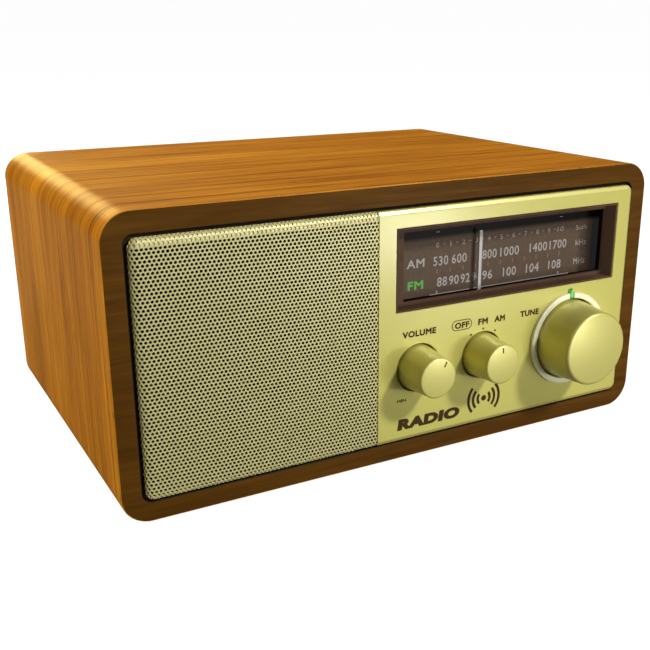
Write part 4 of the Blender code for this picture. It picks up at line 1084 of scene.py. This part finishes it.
def build_panel_lettering():
    """The words on the panel and the plain mark at its lower left."""
    y = FACE_Y - INK_DEPTH
    bm = bmesh.new()
    for words, left, right in (
        ("VOLUME", -6.1, 9.8), ("OFF", 18.9, 26.0), ("FM", 30.5, 35.4),
        ("AM", 38.8, 44.2), ("TUNE", 52.3, 62.2),
    ):
        legend(bm, words, left, right, 52.15, 54.8, y, 0.048)
    ring_outline(bm, 17.4 * MM, 27.3 * MM, 51.35 * MM, 55.8 * MM, 0.32 * MM, y)
    x, z = FUNCTION_AXIS
    turns = [math.radians(a) for a in (-32, 0, 32)]
    dots(bm, [(x + 11.6 * MM * math.sin(a), z + 11.4 * MM * math.cos(a)) for a in turns], 0.45 * MM, y)
    legend(bm, "MIN", -8.1, -3.9, 25.5, 26.8, y, 0.035)
    ink_piece("panel_lettering", bm, "ink_brown")
    bm = bmesh.new()
    legend(bm, "RADIO", -7.9, 22.7, 13.3, 18.2, y, 0.075, slant=0.1)
    wave_emblem(bm, 35.0 * MM, 19.3 * MM, y)
    ink_piece("panel_emblem", bm, "ink_brown")


# The dial's scale, its rows (low, high) and figures (figure, left, right), in mm from the datum.
SCALE_START = 18.5
SCALE_STEP = 6.47
SCALE_ENDS = (SCALE_START, SCALE_START + 10 * SCALE_STEP)

AM_ROW = (75.7, 79.6)
AM_FIGURES = (
    ("530", 16.6, 23.9), ("600", 25.7, 33.2), ("800", 41.2, 48.7), ("1000", 50.6, 60.6),
    ("1400", 66.4, 76.1), ("1700", 77.5, 87.1),
)
FM_ROW = (66.8, 70.7)
FM_FIGURES = (
    ("88", 18.7, 23.6), ("90", 24.6, 29.5), ("92", 30.5, 35.1), ("94", 36.1, 40.7), ("96", 41.6, 46.8),
    ("100", 52.5, 59.5), ("104", 65.0, 72.1), ("108", 77.5, 84.5),
)


def build_dial_plate():
    """The plate that the dial is printed on."""
    bm = slab("dial_plate", 0.8 * MM, 0.2 * MM, 6)
    piece("dial_scale_plate", bm, "dial", replaces="dial_plate")


def build_dial_lettering():
    """Two rows of figures, the 0 to 10 scale, the units, the base line, the ticks and the lit FM."""
    y = place_of("dial_plate")[0].y - INK_DEPTH
    bm = bmesh.new()
    for words, left, right in AM_FIGURES:
        legend(bm, words, left, right, *AM_ROW, y, 0.012)
    for words, left, right in FM_FIGURES:
        legend(bm, words, left, right, *FM_ROW, y, 0.012)
    legend(bm, "AM", 3.8, 12.3, 76.1, 79.6, y, 0.022)
    ink_piece("dial_figures", bm, "ink_pale")

    bm = bmesh.new()
    for n in range(11):
        middle = SCALE_START + n * SCALE_STEP
        width = 3.6 if n == 10 else 0.7 if n == 1 else 1.5
        legend(bm, str(n), middle - width / 2, middle + width / 2, 83.3, 85.4, y, 0.02)
        if n < 10:
            middle += SCALE_STEP / 2
            bar(bm, middle - 0.5, middle + 0.5, 84.3, 84.75, y)
    for words, left, low, high in (
        ("Scale", 92.1, 82.9, 85.1), ("kHz", 92.4, 75.9, 78.5), ("MHz", 91.9, 67.4, 70.2),
    ):
        legend(bm, words, left, 98.7, low, high, y, 0.02)
    for x in SCALE_ENDS:
        bar(bm, x - 0.8, x + 0.8, 89.6, 89.9, y)
    ink_piece("dial_small_print", bm, "ink_dim")

    bm = bmesh.new()
    bar(bm, 15.0, 89.3, 63.62, 64.0, y)
    for x in SCALE_ENDS:
        bar(bm, x - 0.3, x + 0.3, 64.0, 65.3, y)
    ink_piece("dial_base_line", bm, "ink_pale")

    bm = bmesh.new()
    for n in range(11):
        x = SCALE_START + n * SCALE_STEP
        bar(bm, x - 0.22, x + 0.22, 72.5, 74.3, y)
    ink_piece("dial_ticks", bm, "ink_orange")

    bm = bmesh.new()
    legend(bm, "FM", 4.4, 11.9, 67.0, 70.6, y, 0.03)
    ink_piece("dial_band_lamp", bm, "ink_green")


# ---------------------------------------------------------------- back


def build_back_lettering():
    """Plain words beside the sockets."""
    rear = place_of("rear_panel")[1].y + INK_DEPTH
    bm = bmesh.new()
    for words, left, right, low, height in (
        ("AC IN", 79.5, 92.5, 36.6, 2.2), ("DC IN", 44.5, 55.5, 32.0, 2.0),
        ("AUX IN", 20.0, 32.0, 32.0, 2.0), ("PHONES", 0.0, 12.0, 32.0, 2.0),
        ("AM   GND   FM", -55.0, -25.0, 32.6, 2.0), ("INT   EXT", -85.0, -71.0, 30.0, 1.8),
        ("FM ANTENNA", -86.5, -69.5, 15.6, 1.8),
    ):
        legend(bm, words, left, right, low, low + height, rear, 0.015, behind=True)
    ink_piece("rear_lettering", bm, "ink_white")


# ---------------------------------------------------------------- studio


LIT_POINT = Vector((0.0, 0.0, 0.05))
# Strength of the surroundings: what lights the radio, and what the camera sees.
FILL = 0.015
PAPER = 0.985
# Each light: where it stands seen from the radio, how far off, its width and height, power and tint.
LIGHTS = (
    ("key", (0.430, -0.670, 0.600), 2.20, (0.24, 0.24), 32.0, (1.0, 1.0, 1.0)),
    ("side_low", (0.456, -0.888, -0.072), 0.44, (0.07, 0.03), 0.26, (1.0, 1.0, 1.0)),
    ("front_low", (0.300, -0.920, 0.100), 1.40, (0.50, 0.50), 4.0, (1.0, 1.0, 1.0)),
    ("back_low", (-0.070, 0.960, 0.255), 1.20, (0.26, 0.18), 1.9, (1.0, 0.78, 0.28)),
    ("back_high", (0.000, 0.700, 0.700), 1.20, (0.50, 0.50), 2.7, (1.0, 0.88, 0.50)),
    ("overhead", (0.450, 0.150, 0.880), 1.20, (0.24, 0.24), 1.4, (1.0, 1.0, 1.0)),
    ("left_back", (-0.800, 0.200, 0.550), 1.20, (0.30, 0.30), 10.3, (1.0, 0.86, 0.38)),
    ("back_panel", (0.150, 1.000, 0.010), 0.80, (0.50, 0.08), 2.2, (1.0, 1.0, 1.0)),
)


def softbox(name, direction, distance, size, power, color):
    """An area light that faces the radio."""
    data = bpy.data.lights.new(name, "AREA")
    data.shape = "RECTANGLE"
    data.size, data.size_y = size
    data.energy = power
    data.color = color
    made = bpy.data.objects.new(name, data)
    made.location = Vector(direction).normalized() * distance + LIT_POINT
    made.rotation_euler = (LIT_POINT - made.location).to_track_quat("-Z", "Y").to_euler()
    made.visible_camera = False
    bpy.context.scene.collection.objects.link(made)


def camera_sees(tree, seen, lighting, output):
    """Shows the camera one shader, and lights the scene with the other."""
    rays = node(tree, "LightPath")
    both = node(tree, "MixShader")
    tree.links.new(rays.outputs["Is Camera Ray"], both.inputs[0])
    tree.links.new(lighting.outputs[0], both.inputs[1])
    tree.links.new(seen.outputs[0], both.inputs[2])
    tree.links.new(both.outputs[0], tree.nodes[output].inputs["Surface"])


def build_surroundings():
    """A white room that lights the radio only faintly."""
    world = bpy.data.worlds.new("studio")
    bpy.context.scene.world = world
    world.use_nodes = True
    tree = world.node_tree
    fill = tree.nodes["Background"]
    fill.inputs["Strength"].default_value = FILL
    fill.inputs["Color"].default_value = (1.0, 1.0, 1.0, 1.0)
    seen = node(tree, "Background", Color=(1.0, 1.0, 1.0, 1.0), Strength=PAPER)
    camera_sees(tree, seen, fill, "World Output")


def build_floor():
    """A plain pale floor, level with the feet."""
    material, tree, shader = start("floor", Roughness=0.9, Specular_IOR_Level=0.1)
    paper = noise_of(tree, coordinates(tree), 60.0, 3.0)
    pale = ramp(tree, paper, (0.3, grey(0.18)), (0.7, grey(0.20)))
    tree.links.new(pale, shader.inputs["Base Color"])
    glow = node(tree, "Emission", Color=(1.0, 1.0, 1.0, 1.0), Strength=PAPER)
    lit = node(tree, "AddShader")
    tree.links.new(shader.outputs[0], lit.inputs[0])
    tree.links.new(glow.outputs[0], lit.inputs[1])
    camera_sees(tree, lit, shader, "Material Output")
    bm = bmesh.new()
    bmesh.ops.create_grid(bm, x_segments=1, y_segments=1, size=30.0)
    mesh = bpy.data.meshes.new("floor")
    bm.to_mesh(mesh)
    bm.free()
    mesh.materials.append(material)
    floor = bpy.data.objects.new("floor", mesh)
    floor.location.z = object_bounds()[0][2]
    bpy.context.scene.collection.objects.link(floor)


CAMERA_PLACE = Vector((-191.5, -293.1, 167.9)) * MM
CAMERA_DOWN = math.radians(17.99)
CAMERA_RIGHT = math.radians(29.53)


def build_camera():
    """The photo's view, from the front left and above, turned down and to the right."""
    data = bpy.data.cameras.new("camera")
    data.sensor_width = 36.0
    data.lens = 51.56
    data.shift_x = -0.0486
    data.shift_y = 0.0075
    data.clip_start = 0.01
    camera = bpy.data.objects.new("camera", data)
    camera.location = DATUM + CAMERA_PLACE
    camera.rotation_euler = (math.pi / 2 - CAMERA_DOWN, 0.0, -CAMERA_RIGHT)
    bpy.context.scene.collection.objects.link(camera)
    bpy.context.scene.camera = camera


def build_studio():
    """Surroundings, lights, floor and camera."""
    bpy.context.scene.view_settings.view_transform = "Standard"
    build_surroundings()
    for light in LIGHTS:
        softbox(*light)
    build_floor()
    build_camera()


dress_frame()
build_cabinet()
build_grille()
build_faceplate()
build_knobs()
build_tuning_ring()
build_lens()
build_panel_lettering()
build_dial_plate()
build_dial_lettering()
build_back_lettering()
build_studio()
